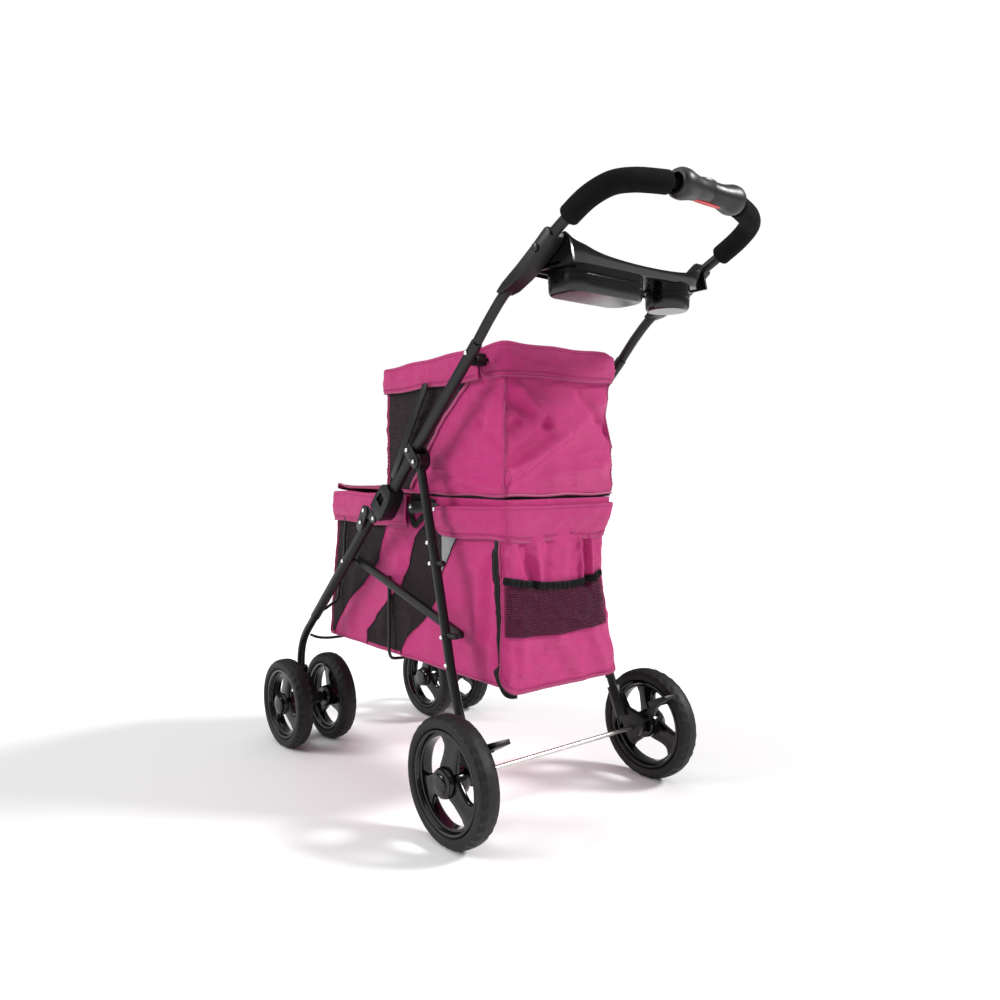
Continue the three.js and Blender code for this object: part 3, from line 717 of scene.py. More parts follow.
# soft folds as (s0, z0, s1, z1, height, width)
UPPER_FOLDS = [(120, 690, 40, 655, -4.5, 13), (96, 706, 48, 660, 3.5, 9), (118, 560, 0, 632, 5.0, 11),
               (110, 588, 30, 640, -4.5, 12),
               (-20, 640, -105, 690, 3.0, 14), (-50, 700, -115, 640, -3.0, 12),
               (118, 640, 96, 650, -4.0, 10), (20, 560, -90, 575, 3.0, 22),
               (135, 610, 190, 650, -2.2, 8), (150, 680, 175, 640, 2.6, 9), (200, 560, 330, 545, 2.0, 10),
               (140, 548, 230, 552, 2.0, 9),
               (-140, 640, -220, 590, 3.0, 14), (-180, 700, -240, 620, -2.6, 12),
               (-150, 560, -330, 548, 2.4, 12)]
LOWER_FOLDS = [(148, 440, 160, 250, 3.0, 9), (170, 430, 176, 300, -3.2, 9), (190, 400, 205, 250, 2.4, 10),
               (140, 400, 144, 260, -2.2, 7),
               (260, 440, 330, 260, 2.5, 15), (330, 400, 300, 330, -1.8, 12), (420, 420, 480, 260, 2.0, 16),
               (560, 460, 600, 260, 2.0, 18),
               (380, 300, 400, 240, 2.4, 12), (-150, 440, -170, 260, 3.0, 12),
               (-230, 440, -300, 260, -2.5, 15), (-420, 430, -460, 260, 2.5, 20),
               (-300, 400, -360, 280, 2.5, 16)]
DOOR_FOLDS = [(96, 450, 72, 390, -5.0, 8), (70, 452, 62, 396, 4.0, 8), (40, 455, 50, 400, -2.5, 8),
              (-56, 466, -60, 384, -9.0, 8),
              (-40, 455, -46, 395, 4.0, 7), (-76, 455, -80, 390, 4.5, 7), (0, 460, 8, 400, 2.0, 12),
              (100, 330, 92, 250, 2.5, 12),
              (20, 300, -30, 236, 3.0, 18), (-70, 300, -95, 235, 3.0, 14)]


def fold_height(folds, s, z):
    """The sum of soft ridges, each fading at its ends."""
    total = 0.0
    for s0, z0, s1, z1, height, width in folds:
        ds, dz = s1 - s0, z1 - z0
        t = ((s - s0) * ds + (z - z0) * dz) / (ds * ds + dz * dz)
        if t < -0.35 or t > 1.35:
            continue
        ends = min(max(t, 0.0), 1.0)
        away = math.hypot(s - s0 - ends * ds, z - z0 - ends * dz)
        total += height * math.exp(-(away / width) ** 2)
    return total


def crumple(s, z, size, seed):
    """Sharp little ridges that run at a slant, as creased cloth has them."""
    turned = Vector(((0.92 * s + 0.38 * z) / size, (0.92 * z - 0.38 * s) / size * 1.7, seed))
    return (1 - abs(noise.noise(turned)) * 2.2) ** 3 - 0.35


def ripple(s, z, size, seed):
    return noise.noise(Vector((s / size, z / size * 1.6, seed)))


def upper_bulge(s, z):
    t = (z - UPPER_BOTTOM) / (UPPER_TOP - UPPER_BOTTOM)
    a = abs(s)
    end = math.cos(math.pi / 2 * min(a / HALF, 1.0)) if a < HALF else math.sin(math.pi
            * min((a - HALF) / UPPER.side, 1.0))
    body = 5.0 * end * math.sin(math.pi * min(t * 1.25, 1.0)) * (1 if t < 0.8 else 0.6)
    fine = 0.55 * math.sin(z * 0.78 + 3 * ripple(s, z, 60, 4.0)) * smooth(1 - abs(z - 590) / 80)
    return body + fold_height(UPPER_FOLDS, s, z) * 2.5 + 2.0 * ripple(s, z, 34, 1.0) + 1.7 * crumple(s, z,
            58, 2.0) + 1.3 * fine - 2.5


def lower_bulge(s, z):
    t = (z - LOWER_BOTTOM) / (LOWER_TOP - LOWER_BOTTOM)
    a = abs(s)
    end = math.cos(math.pi / 2 * min(a / HALF, 1.0)) if a < HALF else 0.55 * math.sin(math.pi
            * min((a - HALF) / LOWER.side, 1.0))
    return 6.0 * end * math.sin(math.pi * min(1.0, (1 - t) * 1.1)) + fold_height(LOWER_FOLDS, s,
            z) * 2.3 + 1.8 * ripple(s, z, 38, 7.0) + 1.6 * crumple(s, z, 64, 9.0) - 2.6


def wall_point(loop, bulge, s, z, out=0.0):
    """A point on a basket wall, out millimetres proud of it, and its level normal."""
    x, y, nx, ny = loop.at(s, z)
    push = bulge(s, z) + out
    return Vector((x + nx * push, y + ny * push, z)), Vector((nx, ny, 0))


def grid_piece(name, rows, material_of, materials, uvs, closed=False, thickness=1.4, wall_side=-1.0):
    """Cloth from rows of points in drawing millimetres, given its thickness."""
    count, width = len(rows), len(rows[0])
    vertices = [at(*q) for row in rows for q in row]
    faces, picks, corner_uvs = [], [], []
    span = width if closed else width - 1
    for i in range(count - 1):
        for k in range(span):
            n = (k + 1) % width
            faces.append((i * width + k, i * width + n, (i + 1) * width + n, (i + 1) * width + k))
            picks.append(material_of(i, k))
            u1 = uvs[i][k + 1] if k + 1 < len(uvs[i]) else uvs[i][k]
            u2 = uvs[i + 1][k + 1] if k + 1 < len(uvs[i + 1]) else uvs[i + 1][k]
            corner_uvs += [uvs[i][k], u1, u2, uvs[i + 1][k]]
    obj = mesh_piece(name, vertices, faces, materials)
    obj.data.polygons.foreach_set("material_index", picks)
    layer = obj.data.uv_layers.new(name="Cloth")
    layer.data.foreach_set("uv", [c * MM for uv in corner_uvs for c in uv])
    solid = obj.modifiers.new("Cloth", "SOLIDIFY")
    solid.thickness = thickness * MM
    solid.offset = wall_side
    baked(obj)
    obj.data.polygons.foreach_set("use_smooth", [True] * len(obj.data.polygons))
    return obj


# ---- Front and rear frame ----
def handle_route():
    start = on_frame(-HANDLE_THICK - 0.35, HANDLE_DROP, 165)
    rest = [(-18, 164.4, 809), (-52, 164.6, 838), (-92, 165.5, 858), (-124, 166.5, 879), (-158, 168, 901),
            (-192, 168.6, 919),
            (-228, 166, 937), (-255, 153, 949), (-270, 130, 954), (-281, 95, 957), (-289, 55, 959),
            (-292, 1, 960)]
    return spline([start, *rest], 14)


def strip_data(path, half, thick):
    """A flat tape along (point, normal) pairs, with softly rounded long edges."""
    rings = []
    n = len(path)
    for i, (q, normal) in enumerate(path):
        ahead = Vector(path[min(i + 1, n - 1)][0]) - Vector(path[max(i - 1, 0)][0])
        normal = Vector(normal).normalized()
        side = ahead.cross(normal).normalized()
        shape = [(-half, -0.3), (-half, 0.3), (-half * 0.82, 0.5), (half * 0.82, 0.5), (half, 0.3),
                 (half, -0.3), (half * 0.82, -0.5), (-half * 0.82, -0.5)]
        rings.append([Vector(q) + side * a + normal * (b * thick) for a, b in shape])
    return loft(rings)


def wall_path(loop, bulge, pairs, out):
    """(point, normal) pairs along (s, z) pairs on a basket wall."""
    return [wall_point(loop, bulge, s, z, out) for s, z in pairs]


# ---- Operators ----
class STROLLER_OT_materials(bpy.types.Operator):
    """Makes the shader groups, the finishes and the repeat trees"""
    bl_idname = "stroller.materials"
    bl_label = "Finishes"

    def execute(self, context):
        GROUPS.update({"Grain": grain_group(), "Rub wear": wear_group(), "Weave": weave_group(),
                       "Net": net_group(), "Zigzag": zigzag_group(),
                       "Along path": repeat_tree("Repeat along path", True),
                       "On points": repeat_tree("Domes on points", False)})
        look, fabric = context.scene.stroller_frame, context.scene.stroller_fabric
        coat, plastic = tuple(look.coat_colour), tuple(look.plastic_colour)
        hub, cloth = tuple(look.hub_colour), tuple(fabric.cloth_colour)
        hard_material("powder_coat", coat, 0.36, 0.0007, 0.00006, wear=0.25, Specular_IOR_Level=0.38)
        hard_material("hinge_black", shaded(coat, 2.2), 0.40, 0.0009, 0.00004, wear=0.5,
                      Specular_IOR_Level=0.5)
        hard_material("moulded_plastic", plastic, 0.40, 0.0012, 0.00008, wear=0.2, Specular_IOR_Level=0.36)
        hard_material("tray_plastic", shaded(plastic, 0.7), 0.20, 0.0030, 0.00005, patch=0.03, wear=0.15,
                      Specular_IOR_Level=0.5)
        hard_material("wheel_gloss", (0.0020, 0.0020, 0.0023), 0.13, 0.0040, 0.00003, patch=0.03, wear=0.1,
                      Specular_IOR_Level=0.42)
        hard_material("tyre_rubber", (0.0062, 0.0058, 0.0058), 0.58, 0.0016, 0.00018, patch=0.02, wear=0.6,
                      Specular_IOR_Level=0.32)
        hard_material("grip_foam", (0.0030, 0.0030, 0.0032), 0.93, 0.0016, 0.00035, patch=0.02,
                      Specular_IOR_Level=0.14)
        hard_material("hub_plastic", hub, 0.38, 0.0011, 0.00006, wear=0.15, Specular_IOR_Level=0.42)
        hard_material("red_plastic", (0.50, 0.012, 0.02), 0.32, 0.0010, 0.00004)
        hard_material("bright_steel", (0.72, 0.72, 0.72), 0.22, 0.0005, 0.00003, patch=0.01, Metallic=1.0)
        hard_material("axle_steel", (0.60, 0.585, 0.56), 0.30, 0.0004, 0.00004, patch=0.02, wear=0.4,
                      Metallic=1.0)
        cloth_material("basket_cloth", cloth, 0.48, 0.0011, 0.9, 0.0024, Sheen_Weight=0.05,
                       Sheen_Roughness=0.4)
        cloth_material("collar_cloth", shaded(cloth, 0.93), 0.48, 0.0011, 0.8, 0.0022, Sheen_Weight=0.05,
                       Sheen_Roughness=0.4)
        cloth_material("seam_thread", shaded(cloth, 0.30), 0.7, 0.0008, 0.3, 0.0003)
        cloth_material("piping_cloth", shaded(cloth, 0.55), 0.55, 0.0009, 0.3, 0.0003, Sheen_Weight=0.2)
        cloth_material("black_tape", (0.005, 0.005, 0.0055), 0.75, 0.0012, 0.4, 0.0005,
                       Specular_IOR_Level=0.25)
        cloth_material("pad_cloth", (0.028, 0.028, 0.032), 0.85, 0.0018, 0.6, 0.0007, Sheen_Weight=0.2)
        material, shader = surface("silver_cloth", (0.36, 0.37, 0.37),
                                   {"Roughness": 0.42, "Metallic": 0.25})
        stripe = effect(material, "Zigzag", Pitch=0.0080)["Stripe"]
        bump(material, shader, stripe, 0.0002)
        tinted(material, shader, stripe, (0.06, 0.06, 0.065), (0.46, 0.47, 0.47))
        net_material("window_mesh", tuple(fabric.mesh_colour), 0.0030, 0.34, 0.84)
        net_material("pocket_mesh", (0.020, 0.003, 0.010), 0.0038, 0.42, 0.26)
        return {"FINISHED"}


class STROLLER_OT_stage(bpy.types.Operator):
    """Places the camera, the pale floor and the soft studio light"""
    bl_idname = "stroller.stage"
    bl_label = "Stage"

    def execute(self, context):
        scene = context.scene
        lens = bpy.data.cameras.new("Camera")
        lens.sensor_width, lens.lens = 36.0, 29.79
        camera = link("Camera", lens)
        yaw, pitch = -0.685, 0.0408
        forward = Vector((math.cos(yaw) * math.cos(pitch), math.sin(yaw) * math.cos(pitch),
                          -math.sin(pitch)))
        camera.location = (-1.1906, 0.9572, 0.5805)
        camera.rotation_euler = forward.to_track_quat("-Z", "Y").to_euler()
        scene.camera = camera
        world = bpy.data.worlds.new("Studio")
        world.use_nodes = True
        tree = world.node_tree
        seen = tree.nodes.new("ShaderNodeLightPath").outputs["Is Camera Ray"]
        backdrop, ambient = 1.0, 0.27
        tree.links.new(math_node(tree, "MULTIPLY_ADD", seen, backdrop - ambient, ambient),
                       tree.nodes["Background"].inputs[1])
        tree.nodes["Background"].inputs[0].default_value = (1.0, 1.0, 1.0, 1.0)
        scene.world = world
        material, shader = surface("floor_paper", (0.90, 0.90, 0.90),
                                   {"Roughness": 0.9, "Specular IOR Level": 0.1})
        rings = [[Vector((radius * math.cos(2 * math.pi * k / 96), radius * math.sin(2 * math.pi * k / 96),
                          z)) for k in range(96)] for radius, z in ((14.0, -0.02), (14.0, 0.0))]
        vertices, faces = loft(rings)
        outward(mesh_piece("Floor", vertices, faces, ["floor_paper"], False))
        lights = [("Key", (-0.58, -0.66, 0.66), 3.1, 13.0), ("Side", (0.40, 0.84, 0.56), 2.2, 26.0),
                  ("Top", (0.0, 0.1, 1.0), 0.9, 70.0)]
        for name, toward, power, softness in lights:
            data = bpy.data.lights.new(name, "SUN")
            data.energy, data.angle = power, math.radians(softness)
            light = link(name, data)
            light.location = Vector(toward) * 3
            light.rotation_euler = (-Vector(toward)).to_track_quat("-Z", "Y").to_euler()
        scene.view_settings.view_transform = "Standard"
        return {"FINISHED"}


class STROLLER_OT_frame(bpy.types.Operator):
    """Builds the bent tubes, wires and links of the folding frame"""
    bl_idname = "stroller.frame"
    bl_label = "Frame tubes"

    def execute(self, context):
        look = context.scene.stroller_frame
        thick, thin = look.tube_radius / MM, look.thin_radius / MM
        for side, sign in (("left", 1), ("right", -1)):
            def flip(points):
                return [Vector((q[0], sign * q[1], q[2])) for q in points]

            lower = flip([on_frame(-HANDLE_THICK, HANDLE_DROP, 165), on_frame(-200, HANDLE_DROP, 166.5),
                          on_frame(-4, HANDLE_DROP, FRAME_Y)])
            obj = placed(f"handle_tube_{side}", tube_data(lower, thick, 28, soft_end=5.0), ["powder_coat"])
            finish_piece(obj, "handle", "powder_coat", f"handle_lower_{side}")
            straight = [on_frame(4, LEG_DROP, FRAME_Y), on_frame(160, LEG_DROP, 171),
                        on_frame(LEG_STRAIGHT, LEG_DROP, 174)]
            bend = spline([on_frame(LEG_STRAIGHT - 12, LEG_DROP, 173.8), (574, 174.6, 251), (594, 175, 231),
                           (610, 175.3, 208),
                           (619, CASTOR_Y, 180), (CASTOR_X, CASTOR_Y, 152), (CASTOR_X, CASTOR_Y, 126)], 6)
            parts = [tube_data(flip(straight), thick, 28, soft_end=2.0), tube_data(flip(bend), thin, 24)]
            obj = placed(f"front_tube_{side}", joined(parts), ["powder_coat"])
            finish_piece(obj, "front_frame", "powder_coat", f"front_leg_{side}")
            leg = spline([(168, 169, 577), (148, 170, 509), (117, 172, 405), (86, 174, 293), (74, 175, 250),
                          (60, 176, 212), (42, 177, 166), (25, 178, 126)], 6)
            eye = [(0.0, 161.0), (12.0, 161.0), (13.5, 162.5), (13.5, 176.4), (12.0, 177.8), (0.0, 177.8)]
            eye = [(max(r, 4.6), sign * y) for r, y in eye]
            parts = [tube_data(flip(leg), thin, 24, soft_end=2.5),
                     lathe_data(eye, REAR_PIVOT[0], 0, REAR_PIVOT[1], 40)]
            for x, z, reach in ((126, 419, 25), (89, 304, 27)):
                y = 171 if z > 400 else 173
                parts.append(tube_data(flip([(x, y, z), (x - reach * 0.5, y - 1, z),
                        (x - reach, y - 2, z + 1)]), 5.6, 16, soft_end=3.0))
            obj = placed(f"rear_tube_{side}", joined(parts), ["powder_coat"])
            finish_piece(obj, "rear_legs", "powder_coat", f"rear_leg_{side}")
            boss = [(4.0, sign * 147), (18.0, sign * 147), (21.0, sign * 149.5), (21.0, sign * 155.5),
                    (18.0, sign * 158.5), (4.0, sign * 158.5)]
            obj = placed(f"pivot_boss_{side}", lathe_data(boss, 189, 0, 592, 40), ["moulded_plastic"])
            finish_piece(obj, "handle", "moulded_plastic")
            clip = [(160, 497), (158, 502), (160, 514), (166, 517), (240, 519), (252, 514), (255, 507),
                    (251, 498), (243, 495), (206, 499), (170, 494)]
            obj = placed(f"rim_clip_{side}", block(clip, sign * 136.8, sign * 140.2), ["moulded_plastic"])
            finish_piece(bevelled(obj, 1.0), "front_frame", "moulded_plastic")
        route = handle_route()
        bow = [*route, *reversed(mirror_y(route[:-1]))]
        obj = placed("handle_bow", tube_data(bow, thin, 24), ["powder_coat"])
        finish_piece(obj, "handle", "powder_coat", "handle_upper_left", "handle_upper_right")
        self.wires()
        for node in ("link_bar", "leg_plate", "hoop_strut"):
            for side in ("left", "right"):
                refined(f"{node}_{side}", "powder_coat", 2.2 if node == "link_bar" else 0.8)
        for node in ("lower_hinge", "upper_hinge"):
            for side in ("left", "right"):
                refined(f"{node}_{side}", "hinge_black", 0.7)
        for side in ("left", "right"):
            refined(f"lock_slider_{side}", "moulded_plastic", 2.2)
            refined(f"axle_bracket_{side}", "moulded_plastic", 1.2)
            refined(f"brake_pedal_{side}", "moulded_plastic", 1.6)
            refined(f"castor_fork_{side}", "moulded_plastic", 1.6)
        obj = placed("axle_rod", tube_data([(0, -240, REAR_R), (0, 0, REAR_R), (0, 240, REAR_R)], 4.0, 24,
                soft_end=1.0), ["axle_steel"])
        finish_piece(obj, "rear_legs", "axle_steel", "rear_axle")
        return {"FINISHED"}

    def wires(self):
        y, z, front, corner = HALF + 5.5, 507, 550, 14
        side = [(184, y, z), (280, y, z), (420, y, z), (front - corner, y, z), (front - 4, y - 4, z),
                (front, y - corner, z)]
        path = spline([*side, (front, 0, z), *reversed([(a, -b, c) for a, b, c in side])], 8)
        drop = spline([(540, 162, 284), (541, 150, 290), (538, y + 1, 304), (528, y, 340), (508, y, 400),
                       (505, y, 438), (500, y, 470), (506, y, z - 1)], 6)
        parts = [tube_data(path, 3.0, 12), tube_data(drop, 3.0, 12), tube_data(mirror_y(drop), 3.0, 12)]
        for x, height in ((248, z + 1), (180, z)):
            for sign in (1, -1):
                knob = [(0.6, sign * 130.8), (7.2, sign * 130.8), (8.0, sign * 131.6), (8.0, sign * 136.0),
                        (7.2, sign * 136.6), (0.6, sign * 136.6)]
                parts.append(lathe_data(knob, x, 0, height, 28))
        finish_piece(placed("rim_wire", joined(parts), ["powder_coat"]), "front_frame", "powder_coat",
                     "rim_frame")
        toe = [(590, 166.2, 224), (601, 158, 220), (602, 147, 215), (596, 136, 213), (589, 122, 212.5),
               (586, 100, 212.5)]
        path = spline([*toe, (586, 0, 212.5), *reversed([(a, -b, c) for a, b, c in toe])], 8)
        finish_piece(placed("toe_bar", tube_data(path, 3.0, 12, soft_end=1.0), ["powder_coat"]),
                     "front_frame", "powder_coat", "toe_wire")
        y = HALF + 8
        half = [(330, y, 372), (330, y, 320), (330, y, 262), (330, y, 228), (330, y - 5, 217),
                (330, y - 16, 214)]
        path = spline([*half, (330, 0, 214), *reversed([(a, -b, c) for a, b, c in half])], 8)
        parts = [tube_data(path, 3.0, 12, soft_end=1.0)]
        for sign in (1, -1):
            eye = [(0.6, sign * (y - 2.6)), (6.4, sign * (y - 2.6)), (7.0, sign * (y - 2.0)),
                   (7.0, sign * (y + 5.3)), (6.4, sign * (y + 5.9)), (0.6, sign * (y + 5.9))]
            parts.append(lathe_data(eye, 330, 0, 367, 24))
        finish_piece(placed("floor_bar", joined(parts), ["powder_coat"]), "links", "powder_coat",
                     "floor_wire")
        y, z, front, rear, c = 124.5, 750, 353, -1, 16
        ring = []
        for (x0, y0), start in (((front - c, y - c), 0), ((rear + c, y - c), 90), ((rear + c, -y + c), 180),
                                ((front - c, -y + c), 270)):
            for k in range(7):
                angle = math.radians(start + 15 * k)
                ring.append((x0 + c * math.cos(angle), y0 + c * math.sin(angle), z))
        parts = [tube_data(ring, 3.0, 12, closed=True)]
        for sign in (1, -1):
            parts.append(tube_data([(34, sign * 154.4, 751), (34, sign * 140, 750.5), (34, sign * y, 750)],
                                   4.0, 14))
            loop = [(39, 741), (36, 744), (36, 758), (39, 761), (54, 761), (58, 757), (58, 745), (54, 741)]
            parts.append(block(loop, sign * 128, sign * 151.5))
        finish_piece(placed("mouth_wire", joined(parts), ["powder_coat"]), "handle", "powder_coat",
                     "mouth_hoop")


class STROLLER_OT_rivets(bpy.types.Operator):
    """Sets the bright domed rivets on the frame"""
    bl_idname = "stroller.rivets"
    bl_label = "Rivets"

    def execute(self, context):
        top, front = hinge_point(-176, HANDLE_DROP + 4), hinge_point(LINK_FRONT, LEG_DROP)
        thick, near, boss = hinge_point(-HANDLE_THICK + 24, HANDLE_DROP), hinge_point(-8,
                HANDLE_DROP - 4), hinge_point(24, LEG_DROP)
        sets = {
            "handle": [(*top, 183.6), (*REAR_PIVOT, 183.6), (*thick, 176.0), (*near, 183.0)],
            "front_frame": [(*front, 181.6), (HINGE_X, HINGE_Z, 188.4), (*boss, 188.4), (246, 508, 140.4),
                            (172, 506, 140.4)],
            "rear_legs": [(134, 453, 180.6), (126, 419, 181.2), (76, 257, 184.4), (*LINK_REAR, 184.4)],
            "links": [(330, 367, 140.0)],
        }
        for body, spots in sets.items():
            paths = [[((x, sign * y, z), (0, sign, 0)) for x, z, y in spots] for sign in (1, -1)]
            obj = repeats(f"rivets_{body}", "On points", paths, "bright_steel", length=7.6, width=7.6,
                          height=4.6, segments=16)
            finish_piece(obj, body, "rivet_steel")
        return {"FINISHED"}


class STROLLER_OT_wheels(bpy.types.Operator):
    """Builds the tyres with their tread grooves and the three-spoke rims"""
    bl_idname = "stroller.wheels"
    bl_label = "Wheels"

    def execute(self, context):
        for side, sign in (("left", 1), ("right", -1)):
            self.wheel(f"rear_wheel_{side}", REAR_R, REAR_WIDTH, 0, sign * REAR_Y, REAR_R, sign, 20, 17)
            for place, out in (("outer", 1), ("inner", -1)):
                self.wheel(f"front_wheel_{side}_{place}", FRONT_R, FRONT_WIDTH, FRONT_X,
                           sign * (CASTOR_Y + out * FRONT_OFFSET), FRONT_R, sign * out, 19, 15)
        return {"FINISHED"}

    def wheel(self, name, radius, width, x, y, z, side, depth, hub):
        tyre = placed(f"{name}_tread", self.tyre(radius, width, depth, x, y, z), ["tyre_rubber"], 50)
        finish_piece(tyre, name, "tyre_rubber", f"{name}_tyre")
        rim = placed(f"{name}_spokes", self.rim(radius - depth - 0.6, width - 6, hub, x, y, z, side,
                depth == 20), ["wheel_gloss"], 40)
        finish_piece(rim, name, "wheel_gloss", f"{name}_rim")

    def tyre(self, radius, width, depth, x, y, z, segments=132, across=24):
        h, inner = width / 2, radius - depth
        rings = []
        for k in range(segments):
            a = 2 * math.pi * k / segments
            ring = [(inner, -h + 4.5), (inner + 1.5, -h + 1.5)]
            for i in range(across + 1):
                t = -1 + 2 * i / across
                c, s = abs(math.cos(t * math.pi / 2)), math.sin(t * math.pi / 2)
                r = inner + 4 + (radius - inner - 4) * c ** 0.42
                side = math.copysign(abs(s) ** 0.9, s) * h
                groove = 0.0
                phase = (k + (2 if t > 0 else 0)) % 4
                if 0.30 < abs(t) < 0.72 and phase < 1.5:
                    groove = 2.4
                if abs(t) < 0.12 and k % 6 == 0:
                    groove = 0.9
                ring.append((r - groove, side))
            ring += [(inner + 1.5, h - 1.5), (inner, h - 4.5)]
            rings.append([Vector((x + r * math.cos(a), y + w, z + r * math.sin(a))) for r, w in ring])
        return loft(rings, closed=True)

    def rim(self, radius, width, hub, x, y, z, side, hex_cap):
        h = width / 2
        hub *= 1.38
        band = [(radius - 7, -h + 2.5), (radius - 5, -h), (radius - 1.2, -h), (radius, -h + 1.5),
                (radius, h - 1.5), (radius - 1.2, h), (radius - 5, h),
                (radius - 7, h - 2.5), (radius - 8, h - 6), (radius - 11.4, h - 6.8), (radius - 12, h - 9),
                (radius - 12, -h + 9), (radius - 11.4, -h + 6.8), (radius - 8, -h + 6)]
        parts = [lathe_data(band, x, y, z, 96)]
        core = [(4.8, -h - 3.6), (hub - 2, -h - 3.6), (hub, -h - 1.6), (hub + 1.5, -6), (hub + 1.5, 6),
                (hub, h + 1.6), (hub - 2, h + 3.6), (4.8, h + 3.6)]
        parts.append(lathe_data(core, x, y, z, 56))
        cap = hub * (0.72 if hex_cap else 0.92)
        low, mid, far = h + 3.0, h + (6.5 if hex_cap else 7.0), h + 9.0
        dome = [(0.05, side * low), (cap, side * low), (cap, side * mid), (cap * 0.9, side * (far - 0.8)),
                (cap * 0.6, side * far), (0.05, side * far)]
        parts.append(lathe_data(dome, x, y, z, 6 if hex_cap else 48))
        if hex_cap:
            flange = [(0.05, side * low), (hub * 0.95, side * low), (hub * 0.95, side * (low + 1.6)),
                      (hub * 0.86, side * (low + 2.6)), (0.05, side * (low + 2.6))]
            parts.append(lathe_data(flange, x, y, z, 48))
        for i in range(3):
            parts.append(self.spoke(math.pi / 2 + 2 * math.pi * i / 3, hub, radius - 7.5, x, y + 2.0 * side,
                                    z, side))
        return joined(parts)

    def spoke(self, turn, near, far, x, y, z, side):
        rings = []
        for i in range(13):
            t = i / 12
            reach = near * 0.75 + (far - near * 0.75) * t
            angle = turn + 0.13 * math.sin(math.pi * t) * side
            half = near * (0.92 - 0.16 * math.sin(math.pi * min(t * 1.05, 1.0)) + 0.5 * max(0.0,
                    t - 0.65) * 2.9)
            thick = 6.6 - 1.6 * t
            out, across = Vector((math.cos(angle), 0, math.sin(angle))), Vector((-math.sin(angle), 0,
                    math.cos(angle)))
            ring = []
            for k in range(16):
                a = 2 * math.pi * k / 16
                c, s = math.cos(a), math.sin(a)
                w, v = math.copysign(abs(c) ** 0.6, c) * half, math.copysign(abs(s) ** 0.7, s) * thick
                ring.append(Vector((x, y, z)) + out * reach + across * w
                            + Vector((0, v + side * 2.5 * (1 - t), 0)))
            rings.append(ring)
        return loft(rings)


